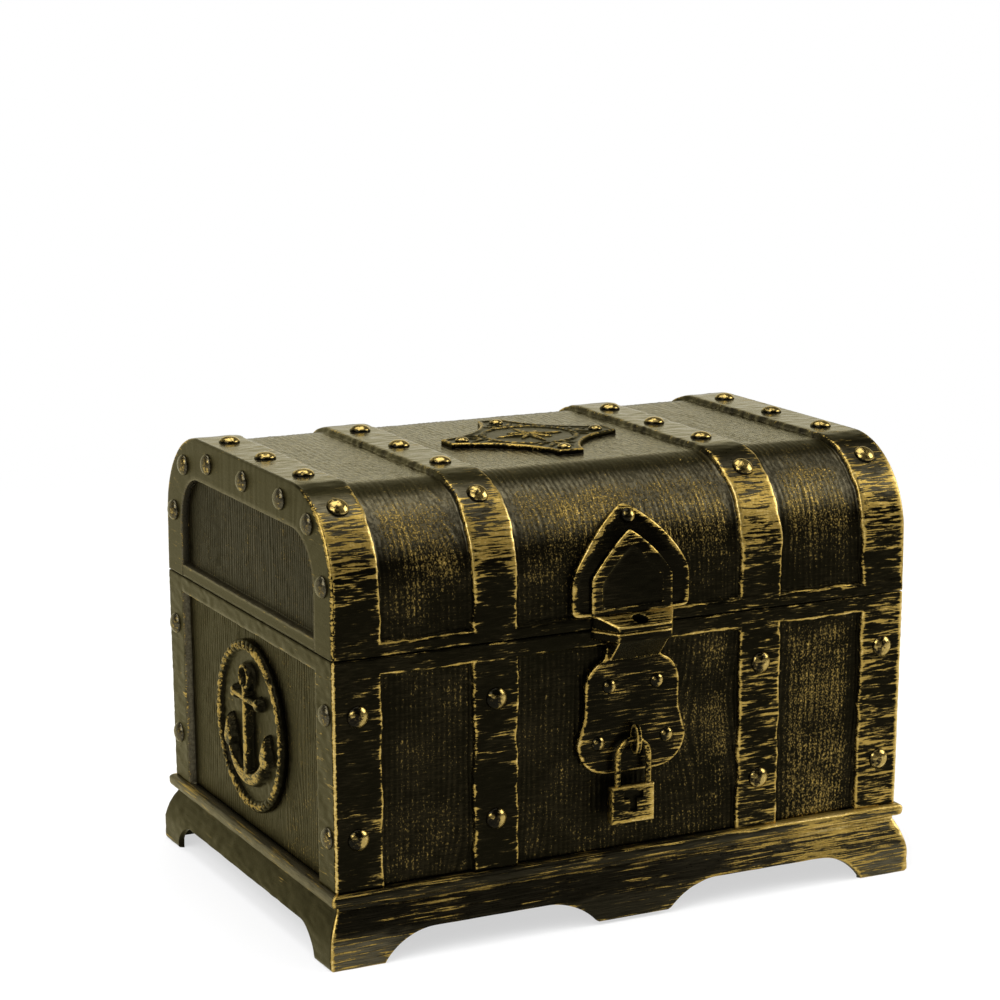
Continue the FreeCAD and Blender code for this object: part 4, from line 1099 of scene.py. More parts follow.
def even_outline(corners, radii, spacing):
    """Closed outline through corners with rounded turns, with places about a spacing apart."""
    corners = np.asarray(corners, float)
    start = (corners[0] + corners[-1]) / 2
    run = np.vstack([[start], corners, [start]])
    points, _ = filleted(run, [0, *radii, 0], spacing)
    step = np.linalg.norm(np.diff(points, axis=0), axis=1)
    points = points[:-1][step > 1e-6]
    return points


def evened(outline, count, ease):
    """Closed outline taken at a count of even steps and eased: each place becomes the bell-weighted mean of
    the places within three eases of it."""
    closed = np.vstack([outline, outline[:1]])
    run = np.concatenate([[0.0], np.cumsum(np.linalg.norm(np.diff(closed, axis=0), axis=1))])
    step = run[-1] / count
    even = np.stack([np.interp(np.arange(count) * step, run, closed[:, axis]) for axis in (0, 1)], -1)
    reach = int(3 * ease / step) + 1
    shifts = np.arange(-reach, reach + 1)
    weights = np.exp(-0.5 * (shifts * step / ease) ** 2)
    near = even[(np.arange(count)[:, None] + shifts) % count]
    return np.einsum("ijk,j->ik", near, weights / weights.sum())


def arc_between(start, end, bow, count):
    """Places on a shallow arc from start to end that bows to the left by a share of its chord."""
    start, end = np.asarray(start, float), np.asarray(end, float)
    t = np.linspace(0, 1, count)[:, None]
    across = np.array([-(end - start)[1], (end - start)[0]])
    return start + (end - start) * t + across * bow * 4 * t * (1 - t)


def laid_plate(ring_at, profile, wrap, seed):
    """Plate as rings from its edge to the middle. ring_at gives the outline at an inset, and each row of the
    profile gives an inset, the height there and the marks for rub and brush; within the last ring the face
    runs level to the middle. wrap maps two flat coordinates and a height to space."""
    insets, rise, rub, brush = np.array(profile).T
    near = np.stack([ring_at(inset) for inset in insets])
    middle = near[-1].mean(0)
    shrinks = np.linspace(1, 0, 16)[1:-1, None, None]
    rings = np.concatenate([near, middle + (near[-1] - middle) * shrinks])

    def to_middle(values):
        return np.concatenate([values, np.full(len(shrinks), values[-1])])[:, None] * np.ones(near.shape[1])
    level, face = to_middle(rise), to_middle(insets)
    hammer = 0.12 * (noise(rings[..., 0] / 2.4, rings[..., 1] / 1.2, seed) - 0.5)
    level = level + np.where(face > 0.15, hammer, 0)
    points = wrap(rings[..., 0], rings[..., 1], level)
    top = wrap(middle[0], middle[1], level[-1].mean())
    bottom = wrap(middle[0], middle[1], rise[0])
    chipped = 0.35 + 1.1 * noise(rings[..., 0] / 2.0, rings[..., 1] / 1.1, seed + 3)
    marks = {"rub": (to_middle(rub) * chipped)[::-1], "brush": to_middle(brush)[::-1]}
    return between_poles(points[::-1], top, bottom, marks)


# Faces of the plates from edge to middle: inset, height, and the marks for rub and brush
OUTER_PROFILE = (
    (0, -0.4, 0, 0), (0, 1.45, 0.5, 0.1), (0.08, 1.7, 1, 0.2), (0.25, 1.86, 1, 0.25), (0.5, 1.9, 0.75, 0.2),
    (1.0, 1.9, 0.4, 0.2), (1.3, 1.84, 0.2, 0.1), (1.7, 1.62, 0, 0.05), (2.2, 1.6, 0, 0.1), (3.2, 1.6, 0, 0.1),
)
HASP_PROFILE = (
    (0, 1.5, 0, -0.1), (0, 2.3, 0.5, 0), (0.08, 2.52, 1, 0.1), (0.25, 2.66, 1, 0.15), (0.5, 2.7, 0.7, 0.2),
    (1.0, 2.7, 0.2, 0.22), (2.4, 2.7, 0.15, 0.22), (2.7, 2.66, 0.4, 0.2), (2.95, 2.5, 0.1, 0),
    (3.2, 2.32, 0, -0.2), (3.7, 2.3, 0, -0.2),
)
GOURD_PROFILE = (
    (0, -0.4, 0, 0), (0, 1.5, 0.5, 0.1), (0.06, 1.75, 1, 0.2), (0.2, 1.92, 1, 0.25), (0.42, 2.0, 0.8, 0.3),
    (0.7, 2.0, 0.2, 0.3), (1.1, 1.98, 0, 0.3),
)


def on_lid_front(mm):
    """Wrap for plates on the lid's front: x, height, and distance out from the panel; above the shoulder's
    level the surface bends round its centre."""
    def wrap(x, z, out):
        inset = mm.strap_rise - out
        rise = np.clip(z - mm.shoulder_z, 0, None)
        turn = np.arcsin(np.clip(rise / (mm.shoulder - mm.strap_rise + 1.9), 0, 1))
        y = -(mm.shoulder_y + (mm.shoulder - inset) * np.cos(turn))
        upright = np.where(rise > 0, mm.shoulder_z + (mm.shoulder - inset) * np.sin(turn), z)
        return stacked(x, y, upright)
    return wrap


def on_box_front(mm):
    """Wrap for plates on the box's front panel: x, height, and distance out from the leaning panel."""
    def wrap(x, z, out):
        return stacked(x, -(mm.half_depth - mm.strap_rise - lean_at(mm, z) + out), z)
    return wrap


def pointed_arch(mm, middle, half, shoulder, point, bow, ease):
    """Outline of a pointed arch that stands on the lid's rim, as a function of an inset: straight sides, then
    two curves that bow by a share of their chords and meet at an eased tip."""
    def ring_at(inset):
        wide = half - inset
        foot, spring = mm.rim_top + inset * 0.6, mm.rim_top + shoulder - inset * 0.4
        tip = mm.rim_top + point - inset * 1.42 + ease * 0.7
        outline = [np.linspace((-wide, foot), (wide, foot), 32)[:-1],
                   np.linspace((wide, foot), (wide, spring), 12)[:-1],
                   arc_between((wide, spring), (0.0, tip), -bow, 30)[:-1],
                   arc_between((0.0, tip), (-wide, spring), -bow, 30)[:-1],
                   np.linspace((-wide, spring), (-wide, foot), 12)[:-1]]
        return evened(np.vstack(outline) + (middle, 0.0), 180, ease)
    return ring_at


def gourd(mm):
    """Outline of the lock plate, as a function of an inset along its normals: a neck under the rail, swelling
    to a lobe, a waist, hips and a round foot."""
    neck, neck_foot, top = 7.4, mm.rail_foot - NECK, mm.rail_foot - 0.2
    lobe = (12.7, neck_foot - 8.7)
    waist = (12.7, lobe[1] - 4.5)
    hip = (14.8, waist[1] - 7.4)
    foot = (6.5, hip[1] - 7.6)
    right = np.vstack([
        np.linspace((neck, top), (neck, neck_foot), 6)[:-1],
        arc_between((neck, neck_foot), lobe, 0.2, 16)[:-1],
        np.linspace(lobe, waist, 8)[:-1], np.linspace(waist, hip, 9)[:-1],
        arc_between(hip, foot, 0.2, 16)[:-1], np.linspace(foot, (0.0, foot[1]), 8)[:-1],
    ])
    left = right[::-1] * (-1, 1)
    head = np.linspace((-neck, top), (neck, top), 16)[1:-1]
    outline = evened(np.vstack([right, [(0.0, foot[1])], left, head]), 240, 0.7)

    def ring_at(inset):
        return rings_inwards(outline, [inset], [])[0]
    return ring_at


UPPER, LOWER = True, False
# Rings of a holed ledge, from the foot of its hole up, out over the upper face and back below: share of
# the way to the ledge's edge, ease of the face there, which face it is, and the marks for rub and brush
LEDGE_ROWS = (
    (0.0, 0.0, LOWER, 0, -1.0), (0.0, 0.5, UPPER, 0, -0.8), (0.0, 0.2, UPPER, 0.1, -0.2),
    (0.03, 0.05, UPPER, 0.6, 0.3), (0.1, 0.0, UPPER, 0.3, 0.4), (0.35, 0.0, UPPER, 0.1, 0.52),
    (0.6, 0.0, UPPER, 0.1, 0.52), (0.86, 0.0, UPPER, 0.2, 0.5), (0.95, 0.0, UPPER, 0.7, 0.4),
    (0.985, 0.08, UPPER, 1.0, 0.4), (1.0, 0.28, UPPER, 0.9, 0.3), (1.0, 0.5, UPPER, 0.0, -0.1),
    (1.0, 0.5, LOWER, 0.0, -0.1), (1.0, 0.25, LOWER, 0.5, 0.1), (0.975, 0.0, LOWER, 0.5, 0.1),
    (0.5, 0.0, LOWER, 0.0, 0.0),
)


def holed_ledge(mm, low, slope):
    """Ledge over the tongue's plan with an upright hole: rings run round the hole and out to the plan's
    edge. slope gives the upper face's height from the depth."""
    tip, root = -HASP_LOW[1], mm.half_depth - 0.4
    hole_y, hole = tip - 2.9, 1.9
    way = round_ways(160)
    tip_half, root_half = 7.1, 11.2
    lean = (root_half - tip_half) / (tip - mm.half_depth)
    tiny, far, power = 1e-6, 1e6, 16.0

    def until(room, speed):
        """Distance at which a ray uses up its room, or far where it doesn't head there."""
        return np.where(speed > tiny, room / np.maximum(speed, tiny), far)
    to_edges = (until(tip - hole_y, -way[:, 1]), until(hole_y - root, way[:, 1]),
                until(tip_half + lean * (tip - hole_y), np.abs(way[:, 0]) - lean * way[:, 1]))
    edge = sum(distance ** -power for distance in to_edges) ** (-1 / power)
    radius, level, rub, brush = [], [], [], []
    for out, ease, above, rubbed, brushed in LEDGE_ROWS:
        ring = hole + (edge - hole) * out
        depth = hole_y - ring * way[:, 1]
        radius.append(ring)
        level.append(slope(-depth) - ease if above else np.full(ring.shape, low + ease))
        corner = bell(np.abs(ring * way[:, 0]) - tip_half, 0.5) * smooth(tip - 1.2, tip - 0.5, depth)
        rub.append(np.maximum(rubbed, 0.9 * corner * (out > 0.99)))
        brush.append(np.full(ring.shape, brushed))
    radius, level, rub, brush = (np.array(values) for values in (radius, level, rub, brush))
    points = stacked(radius * way[:, 0], -(hole_y - radius * way[:, 1]), level)
    return carried_loop(points.swapaxes(0, 1), {"rub": rub.T, "brush": brush.T}, closed=True)


def make_catch(mm):
    """Catch: the holed ledge under the tongue, and a leaning neck of eased section below it."""
    under, foot = mm.parting - 2.2, mm.rail_foot - NECK
    ledge = holed_ledge(mm, under, lambda y: np.full(y.shape, mm.parting))
    back = -(mm.half_depth - mm.strap_rise - 0.2)
    section = even_outline([(back, under + 0.2), (back, foot), (-mm.half_depth - 1.4, foot),
                            (HASP_LOW[1] + 0.5, under + 0.2)], (0.1, 0.1, 0.4, 0.3), 0.5)
    rims = np.array([0.6, 1.9, 0.2, 0.2, 1.9, 0.6])[:, None]
    within = np.array([0.0, 1.2, 1.2, 1.2, 1.2, 0.0])[:, None]
    rub = np.maximum(rims, within * bell(section[:, 1] - foot, 0.5))
    half = 6.8
    # The neck gets no brushed gold, and its end mark of 5.0 lowers its metal so that it reads dark: painted shade
    # under the ledge.
    return [ledge, extruded(section, -half, half, 0.5, {"rub": rub, "brush": -0.3, "end": 5.0})]


def make_staple(eye_y, eye_z):
    """Staple: a narrow upright eye. A rounded section is carried round a path of two half circles joined by
    short straights."""
    turn = round_turn(64)[:, None]
    around = round_turn(24)
    bend, straight, deep = 2.3, 0.9, 1.52
    wide = signed_power(np.cos(around), 0.5) * 0.62
    thick = signed_power(np.sin(around), 0.6) * 0.45
    y = (deep + thick) * np.cos(turn)
    z = (bend + thick) * np.sin(turn) + straight * signed_power(np.sin(turn), 0.3)
    edges = bell(np.abs(wide) - 0.6, 0.3) * (np.sin(around) > -0.2)
    points = stacked(wide, eye_y + y, eye_z + z)
    return carried_loop(points, {"rub": 0.95 * edges, "brush": 0.35}, closed=True)


def make_case():
    """Padlock case: front face with a keyhole sunk into it, carried over rounded edges to a flat back.
    The keyhole is a bar over a stem, with steep sides."""
    low, high = CASE_LOW, CASE_HIGH
    half = (high[0] - low[0]) / 2 - 0.4
    middle = low[0] + half
    ease, sunk = 0.6, 0.95
    bar, stem, top = 2.6, 0.9, high[2] - 1.4
    bar_foot, foot = top - 1.8, top - 4.9
    columns = places(-half, half, [-half, half, -bar, bar, -stem, stem], 0.4, 0.07, 0.25)
    rows = places(low[2], high[2], [low[2], high[2], top, bar_foot, foot], 0.4, 0.07, 0.25)
    x, z = np.meshgrid(columns, rows, indexing="ij")
    in_bar = np.minimum(bar - np.abs(x), np.minimum(top - z, z - bar_foot))
    in_stem = np.minimum(stem - np.abs(x), np.minimum(bar_foot + 0.3 - z, z - foot))
    hole = smooth(-0.06, 0.06, np.maximum(in_bar, in_stem))
    edge = np.minimum(half - np.abs(x), np.minimum(high[2] - z, z - low[2]))
    drop = np.clip(1 - edge / ease, 0, 1)
    rounded = ease * (1 - np.sqrt(1 - drop * drop))
    wavy = 0.14 * (noise(x / 2.6, z / 0.7, 51) - 0.5) * (1 - hole)
    front = stacked(middle + x, low[1] + rounded + wavy + 0.07 + sunk * hole, z)
    back_z = high[2] + (low[2] - high[2]) * np.array([0.02, 0.3, 0.7, 0.98])
    back = stacked(middle + columns[:, None], high[1], back_z)
    rub = np.maximum.reduce([bell(half - x, 1.3), 0.7 * bell(half + x, 0.5),
                             0.95 * bell(high[2] - z, 0.45), 0.95 * bell(z - low[2], 1.2)])
    brush = (0.47 + 0.10 * (x / half)) * (1 - hole) - 1.5 * hole
    marks = lined({"rub": rub * (1 - hole), "brush": brush}, x.shape, len(back_z),
                  rub=0.3, brush=0.3, inside=0.0)
    return carried_loop(np.concatenate([front, back], 1), marks)


def make_shackle(eye_y, eye_z):
    """Shackle: a round wire carried up one leg, over a half circle and down the other."""
    middle = (SHACKLE_LOW[0] + SHACKLE_HIGH[0]) / 2
    wire = (SHACKLE_HIGH[1] - SHACKLE_LOW[1]) / 2
    reach = (SHACKLE_HIGH[0] - SHACKLE_LOW[0]) / 2 - wire
    bend_z = eye_z - reach
    rise = np.linspace(CASE_HIGH[2] - 2.0, bend_z, 8)[:-1]
    leg = np.ones(rise.shape)
    turn = np.linspace(0, math.pi, 33)
    out_x = np.concatenate([leg, np.cos(turn), -leg])[:, None]
    out_z = np.concatenate([0 * rise, np.sin(turn), 0 * rise])[:, None]
    path_z = np.concatenate([rise, bend_z + reach * np.sin(turn), rise[::-1]])[:, None]
    around = round_turn(20)
    points = stacked(middle + reach * out_x + wire * out_x * np.cos(around), eye_y + wire * np.sin(around),
                     path_z + wire * out_z * np.cos(around))
    # Less gold at the top of the bow, where it passes behind the staple: painted shade.
    crown = 1 - 0.7 * smooth(0.7, 1.0, out_z)
    outside = crown * (0.3 + 0.5 * smooth(-0.2, 0.6, np.cos(around)))
    return carried_loop(points, {"rub": outside, "brush": 0.30})


# Reliefs


def stroke_distance(u, v, start, end, wide_start, wide_end):
    """Distance inside a straight stroke whose half width runs from one value to the other."""
    start, end = np.asarray(start, float), np.asarray(end, float)
    way = end - start
    t = np.clip(((u - start[0]) * way[0] + (v - start[1]) * way[1]) / (way @ way), 0, 1)
    away = np.hypot(u - start[0] - t * way[0], v - start[1] - t * way[1])
    return wide_start + (wide_end - wide_start) * t - away


def anchor_depth(u, v):
    """Distance inside an anchor: shank, stock with balls, ring, curved arms and flukes."""
    inside = stroke_distance(u, v, (0, -13), (0, 10), 1.7, 1.35)
    inside = np.maximum(inside, stroke_distance(u, v, (-7.6, 7.2), (7.6, 7.2), 1.1, 1.1))
    for side in (-1, 1):
        inside = np.maximum(inside, 1.9 - np.hypot(u - side * 7.6, v - 7.2))
        inside = np.maximum(inside, stroke_distance(u, v, (side * 11.6, -5.2), (side * 12.0, 0.9), 2.9, 0.0))
    inside = np.maximum(inside, 0.95 - np.abs(np.hypot(u, v - 12.7) - 2.7))
    bow = np.hypot(u, v + 0.83)
    below = smooth(-3.5, -5.0, v)
    thick = 1.0 + 1.0 * smooth(-4.5, -13, v)
    return np.maximum(inside, np.where(below > 0, thick - np.abs(bow - 12.17), -9) * below - 9 * (1 - below))


def make_emblem(mm, side):
    """Round medallion on an end panel: a polar grid whose height is a sunk ground, a rope border of twisted
    strands and a domed anchor."""
    middle_z = (EMBLEM_LOW[2] + EMBLEM_HIGH[2]) / 2
    radius = (EMBLEM_HIGH[2] - EMBLEM_LOW[2]) / 2
    wall_x = EMBLEM_LOW[0]
    rope, sunk, skirt = 1.5, 0.8, -0.3
    border_in = radius - 2 * rope
    turn = round_turn(400)
    border_rings = places(radius - 3.1, radius - 0.02, [], 0.15, 0.15, 1)
    ring = np.concatenate([np.linspace(0.3, radius - 3.2, 58), border_rings])
    r, t = np.meshgrid(ring, turn, indexing="ij")
    u, v = r * np.cos(t), r * np.sin(t)
    ground = sunk + 0.14 * (noise(u / 1.6, v / 1.6, 61) - 0.5) + 0.10 * (noise(u / 5, v / 5, 62) - 0.5)
    across = np.clip((r - (radius - rope)) / rope, -1, 1)
    strand = np.abs(np.sin(t * 24 + across * 1.15))
    cord = np.sqrt(1 - across * across) * (0.95 + 0.45 * strand ** 0.7)
    border = np.where(r > border_in, 0.7 + cord, ground)
    depth = anchor_depth(u, v)
    rise = np.clip(depth / 1.15, 0, 1)
    figure = np.where(depth > 0, sunk + 2.1 * np.sqrt(1 - (1 - rise) ** 2), 0)
    level = np.maximum(np.maximum(ground, border), figure)
    level_all = np.vstack([level, np.full((1, len(turn)), skirt)])
    u, v = (np.vstack([values, values[-1:]]) for values in (u, v))
    forward = lean_at(mm, EMBLEM_LOW[2]) - lean_at(mm, v + middle_z)
    points = stacked(side * (wall_x + level_all + forward), u, v + middle_z)
    crest = np.where(depth > 0, smooth(0.15, 0.8, rise), 0)
    cords = np.where(r > border_in, smooth(0.55, 1.25, cord), 0)
    rub = np.vstack([np.maximum(crest, cords) * 0.65, np.zeros((1, len(turn)))])
    brush = 0.06 + 0.24 * noise(u / 5, v / 5, 63)
    start = (side * (wall_x + level[0].mean() + 0.2), 0.0, middle_z)
    end = (side * (wall_x + skirt), 0.0, middle_z)
    return between_poles(points, start, end, {"rub": rub, "brush": brush, "end": 1.0})


def make_badge(mm):
    """Badge on the lid's top: a plate with four flat points, scooped sides and a raised rim. A ring of beads
    goes round a compass star whose faces fall from ridges to valleys, and leaves lie in each point."""
    point, tip, scoop = 23.0, 3.2, 4.0
    chord = math.hypot(point - tip, point - tip)
    side = arc_between((point, tip), (tip, point), scoop / chord, 60)[:-1]
    quarter = np.vstack([np.linspace((point, -tip), (point, tip), 16)[:-1], side])
    run = stacked(quarter[:, 0], quarter[:, 1], 0.0)
    outline = np.vstack([quarter_turned(run, quarters)[:, :2] for quarters in range(4)])
    insets = np.array([0.0, 0.0, 0.1, 0.28, 0.5, 0.9, 1.2, 1.5])
    rise = np.array([-0.3, 0.7, 0.95, 1.1, 1.15, 1.12, 0.95, 0.85])
    shrinks = np.linspace(1, 0, 64)[1:-1]
    rings = rings_inwards(outline, insets, shrinks)
    x, y = rings[..., 0], rings[..., 1]
    out, turn = np.hypot(x, y), np.arctan2(y, x)
    eighth = math.pi / 4
    spoke = np.abs((turn / eighth + 0.5) % 1 - 0.5) * 2
    even = np.round(turn / eighth).astype(int) % 2 == 0
    ray, waist = np.where(even, 10.2, 6.6), 2.7
    bend = spoke * eighth / 2
    edge = ray * waist * math.sin(eighth / 2) / (ray * np.sin(bend) + waist * np.sin(eighth / 2 - bend))
    in_star = smooth(-0.02, 0.10, 1 - out / edge)
    star = in_star * (0.25 + 0.6 * np.clip(1 - out / edge, 0, 1))
    beads = np.sqrt(np.clip(1 - ((out - 11.8) / 0.8) ** 2, 0, 1)) * (0.6 + 0.4 * np.abs(np.sin(turn * 18)))
    fold = turn - np.round(turn / (2 * eighth)) * (2 * eighth)
    ahead, aside = out * np.cos(fold), np.abs(out * np.sin(fold))
    leaf = np.maximum(stroke_distance(ahead, aside, (13.8, 0.6), (17.4, 3.2), 1.0, 0.3),
                      stroke_distance(ahead, aside, (12.9, 3.4), (14.6, 5.6), 0.9, 0.3))
    leaves = np.sqrt(np.clip(leaf / 0.8, 0, 1))
    level = np.concatenate([rise, np.full(len(shrinks), rise[-1])])[:, None]
    level = level + 0.06 * (noise(x / 2.0, y / 2.0, 66) - 0.5) + star + 0.45 * beads + 0.4 * leaves
    border = np.zeros(level.shape)
    border[1:6] = np.array([0.5, 0.9, 1.0, 0.9, 0.5])[:, None]
    rub = np.maximum.reduce([border * 0.85, in_star * (0.45 + 0.45 * (1 - spoke)), 0.8 * beads, 0.7 * leaves])
    panel = mm.lid_top - mm.strap_rise
    points = stacked(x, y, panel + level)[::-1]
    start, end = (0, 0, panel + 1.7), (0, 0, panel + rise[0])
    return between_poles(points, start, end, {"rub": rub[::-1], "brush": 0.06})


# Operators


class CHEST_OT_box(bpy.types.Operator):
    """Builds the box: four walls, the floor and the fixed hinge knuckles"""
    bl_idname = "chest.box"
    bl_label = "Box"

    def execute(self, context):
        mm = measured()
        shell = finish_of("brushed_shell")
        for quarters, name in enumerate(("front", "right", "back", "left")):
            wall = make_wall(mm, quarters)
            put_piece(f"box_wall_{name}", [wall], shell, "chest", "aged_wood", "chest_body")
        put_piece("box_floor", [make_floor_plate(mm)], shell, "chest", "aged_wood", "chest_body")
        put_piece("box_hinges", make_box_hinges(mm), shell, "chest", "aged_wood", "chest_body")
        return {"FINISHED"}


class CHEST_OT_lid(bpy.types.Operator):
    """Builds the lid: the vault with its hoops, two end panels and the moving knuckles"""
    bl_idname = "chest.lid"
    bl_label = "Lid"

    def execute(self, context):
        mm = measured()
        shell = finish_of("brushed_shell")
        put_piece("lid_vault", [make_vault(mm)], shell, "lid", "aged_wood", "lid")
        for side, name in ((-1, "left"), (1, "right")):
            put_piece(f"lid_end_{name}", [make_lid_end(mm, side)], shell, "lid", "aged_wood", "lid")
        put_piece("lid_hinges", make_lid_hinges(mm), shell, "lid", "aged_wood", "lid")
        return {"FINISHED"}


class CHEST_OT_plinth(bpy.types.Operator):
    """Builds the plinth with its bracket feet"""
    bl_idname = "chest.plinth"
    bl_label = "Plinth"

    def execute(self, context):
        put_piece("plinth_moulding", [make_plinth(measured())], finish_of("brushed_plinth"), "chest",
                  "aged_wood", "plinth")
        return {"FINISHED"}


class CHEST_OT_studs(bpy.types.Operator):
    """Builds the stud heads on the seats of the frame's own studs"""
    bl_idname = "chest.studs"
    bl_label = "Studs"

    def execute(self, context):
        mm = measured()
        large = ("front_rivets", "back_rivets", "side_rivets_left", "side_rivets_right", "lid_strap_rivets",
                 "lid_end_rivets_left", "lid_end_rivets_right")
        small = ("lock_plate_rivets", "hasp_rivet", "badge_rivets")
        bodies = frame["record"]["behaviour"]["bodies"]
        rises = {**{node: mm.stud_rise for node in large}, **{node: mm.small_stud_rise for node in small}}
        for node, rise in rises.items():
            shells = [make_stud(*seat, rise, number) for number, seat in enumerate(stud_seats(node))]
            body = next(name for name, nodes in bodies.items() if node in nodes)
            put_piece(f"{node}_domes", shells, finish_of("gilt_stud"), body, "stud", node)
        return {"FINISHED"}


class CHEST_OT_fittings(bpy.types.Operator):
    """Builds the lock plates, the hasp, the catch and the staple"""
    bl_idname = "chest.fittings"
    bl_label = "Fittings"

    def execute(self, context):
        mm = measured()
        metal = finish_of("brushed_plate")
        lid_front = on_lid_front(mm)
        arch = pointed_arch(mm, middle=-0.5, half=15.8, shoulder=9.5, point=25.3, bow=0.08, ease=1.3)
        outer = laid_plate(arch, OUTER_PROFILE, lid_front, 81)
        put_piece("lid_plate", [outer], metal, "lid", "fitting", "lid_lock_plate")
        arch = pointed_arch(mm, middle=-0.6, half=10.9, shoulder=9.0, point=19.6, bow=0.05, ease=0.6)
        inner = laid_plate(arch, HASP_PROFILE, lid_front, 82)
        tip, rise = HASP_LOW[1], mm.lid_foot + 1.3
        face = -(mm.half_depth - mm.strap_rise + 2.7)

        def slope(y):
            return rise + (mm.rim_top + 0.1 - rise) * np.clip((y - tip) / (face - tip), 0, 1)
        tongue = holed_ledge(mm, mm.lid_foot, slope)
        put_piece("hasp_arch", [inner, tongue], metal, "lid", "fitting", "hasp")
        plate = laid_plate(gourd(mm), GOURD_PROFILE, on_box_front(mm), 83)
        put_piece("gourd_plate", [plate], metal, "chest", "fitting", "lock_plate")
        put_piece("catch_ledge", make_catch(mm), metal, "chest", "fitting", "catch")
        eye = make_staple(*joint_place("padlock_swing"))
        put_piece("staple_eye", [eye], metal, "chest", "fitting", "staple")
        return {"FINISHED"}


class CHEST_OT_padlock(bpy.types.Operator):
    """Builds the padlock's case and shackle"""
    bl_idname = "chest.padlock"
    bl_label = "Padlock"

    def execute(self, context):
        gilt = finish_of("gilt_padlock")
        put_piece("padlock_block", [make_case()], gilt, "padlock", "padlock", "padlock_case")
        bow = make_shackle(*joint_place("padlock_swing"))
        put_piece("padlock_bow", [bow], gilt, "padlock", "padlock", "padlock_shackle")
        return {"FINISHED"}


class CHEST_OT_reliefs(bpy.types.Operator):
    """Builds the medallions on the ends and the badge on the lid"""
    bl_idname = "chest.reliefs"
    bl_label = "Reliefs"

    def execute(self, context):
        mm = measured()
        cast = finish_of("brushed_relief")
        for side, name in ((-1, "left"), (1, "right")):
            medallion = make_emblem(mm, side)
            put_piece(f"medallion_{name}", [medallion], cast, "chest", "relief", f"side_emblem_{name}")
        put_piece("star_badge", [make_badge(mm)], cast, "lid", "relief", "lid_badge")
        return {"FINISHED"}


class CHEST_OT_pins(bpy.types.Operator):
    """Gives the frame's own hinge pins their steel"""
    bl_idname = "chest.pins"
    bl_label = "Hinge pins"

    def execute(self, context):
        steel = steel_finish()
        for node in ("hinge_pin_left", "hinge_pin_right"):
            mesh = frame["nodes"][node].data
            mesh.materials.clear()
            mesh.materials.append(steel)
        return {"FINISHED"}


class CHEST_OT_stage(bpy.types.Operator):
    """Builds the pale floor, the soft lights, the world and the camera"""
    bl_idname = "chest.stage"
    bl_label = "Studio"

    def execute(self, context):
        scene = context.scene
        scene.view_settings.view_transform = "Standard"
        make_floor()
        make_world(scene)
        for light in LIGHTS:
            soft_light(*light)
        make_camera(scene)
        return {"FINISHED"}


def make_floor():
    """Floor as rings round the middle out to a wide rim, pale and lit, fading outwards into plain white."""
    turn = round_turn(96)
    ring = np.array([0.1, 0.3, 0.6, 1.0, 2.0, 4.0, 8.0])
    points = stacked(ring[:, None] * np.cos(turn), ring[:, None] * np.sin(turn), np.zeros((1, 1)))
    points = np.vstack([points.reshape(-1, 3), [(0, 0, 0)]])
    faces = grid_faces(len(ring), len(turn), False, True).tolist()
    count = len(ring) * len(turn)
    faces += [(step, (step + 1) % len(turn), count) for step in range(len(turn))]
    mesh = bpy.data.meshes.new("studio_floor")
    mesh.from_pydata(points.tolist(), [], faces)
    finish = Finish(bpy.data.materials.new("studio_floor"))
    tint = bpy.context.scene.chest_colours.floor
    source = finish.node("ShaderNodeTexCoord").outputs["Object"]
    away = finish.node("ShaderNodeVectorMath", {"operation": "LENGTH"}, {0: source}).outputs["Value"]
    far = finish.step(away, 0.22, 0.55)
    path = finish.node("ShaderNodeLightPath")
    seen = Value(finish, path.outputs["Is Camera Ray"]).over(path.outputs["Is Glossy Ray"])
    seen = seen.over(path.outputs["Is Transmission Ray"])
    mottle = finish.noise(finish.scaled(source, 40.0), 2.0, 0.5)
    matt = finish.node("ShaderNodeBsdfDiffuse", None, {
        "Color": finish.mix(mottle, tuple(tint), tuple(part * 0.985 for part in tint))})
    white = finish.node("ShaderNodeEmission", None, {"Color": (1, 1, 1, 1), "Strength": 1.0})
    blend = finish.node("ShaderNodeMixShader", None, {
        0: seen * (far * 0.4 + 0.6), 1: matt.outputs[0], 2: white.outputs[0]})
    mesh.materials.append(finish.close(blend.outputs[0]))
    floor = bpy.data.objects.new("studio_floor", mesh)
    bpy.context.scene.collection.objects.link(floor)


def make_world(scene):
    """World of even fill light that shows plain white to the camera. In reflections it is white behind and
    above the chest and dim in front of it, like a room in front of a white backdrop."""
    finish = Finish(bpy.data.worlds.new("studio_white"))
    path = finish.node("ShaderNodeLightPath")
    seen = Value(finish, path.outputs["Is Camera Ray"]).over(path.outputs["Is Transmission Ray"])
    source = finish.node("ShaderNodeTexCoord").outputs["Generated"]
    way = finish.node("ShaderNodeSeparateXYZ", None, {0: source})
    behind = Value(finish, way.outputs["Y"]) * 0.8 - way.outputs["Z"]
    fill, dim, white = (finish.node("ShaderNodeBackground", None, {
        "Color": (1, 1, 1, 1), "Strength": strength}).outputs[0] for strength in (0.45, 0.10, 1.0))
    room = finish.node("ShaderNodeMixShader", None, {0: finish.step(behind, -0.1, 0.4), 1: dim, 2: white})
    light = finish.node("ShaderNodeMixShader", None, {
        0: path.outputs["Is Glossy Ray"], 1: fill, 2: room.outputs[0]})
    shown = finish.node("ShaderNodeMixShader", None, {0: seen, 1: light.outputs[0], 2: white})
    scene.world = finish.close(shown.outputs[0], "ShaderNodeOutputWorld")


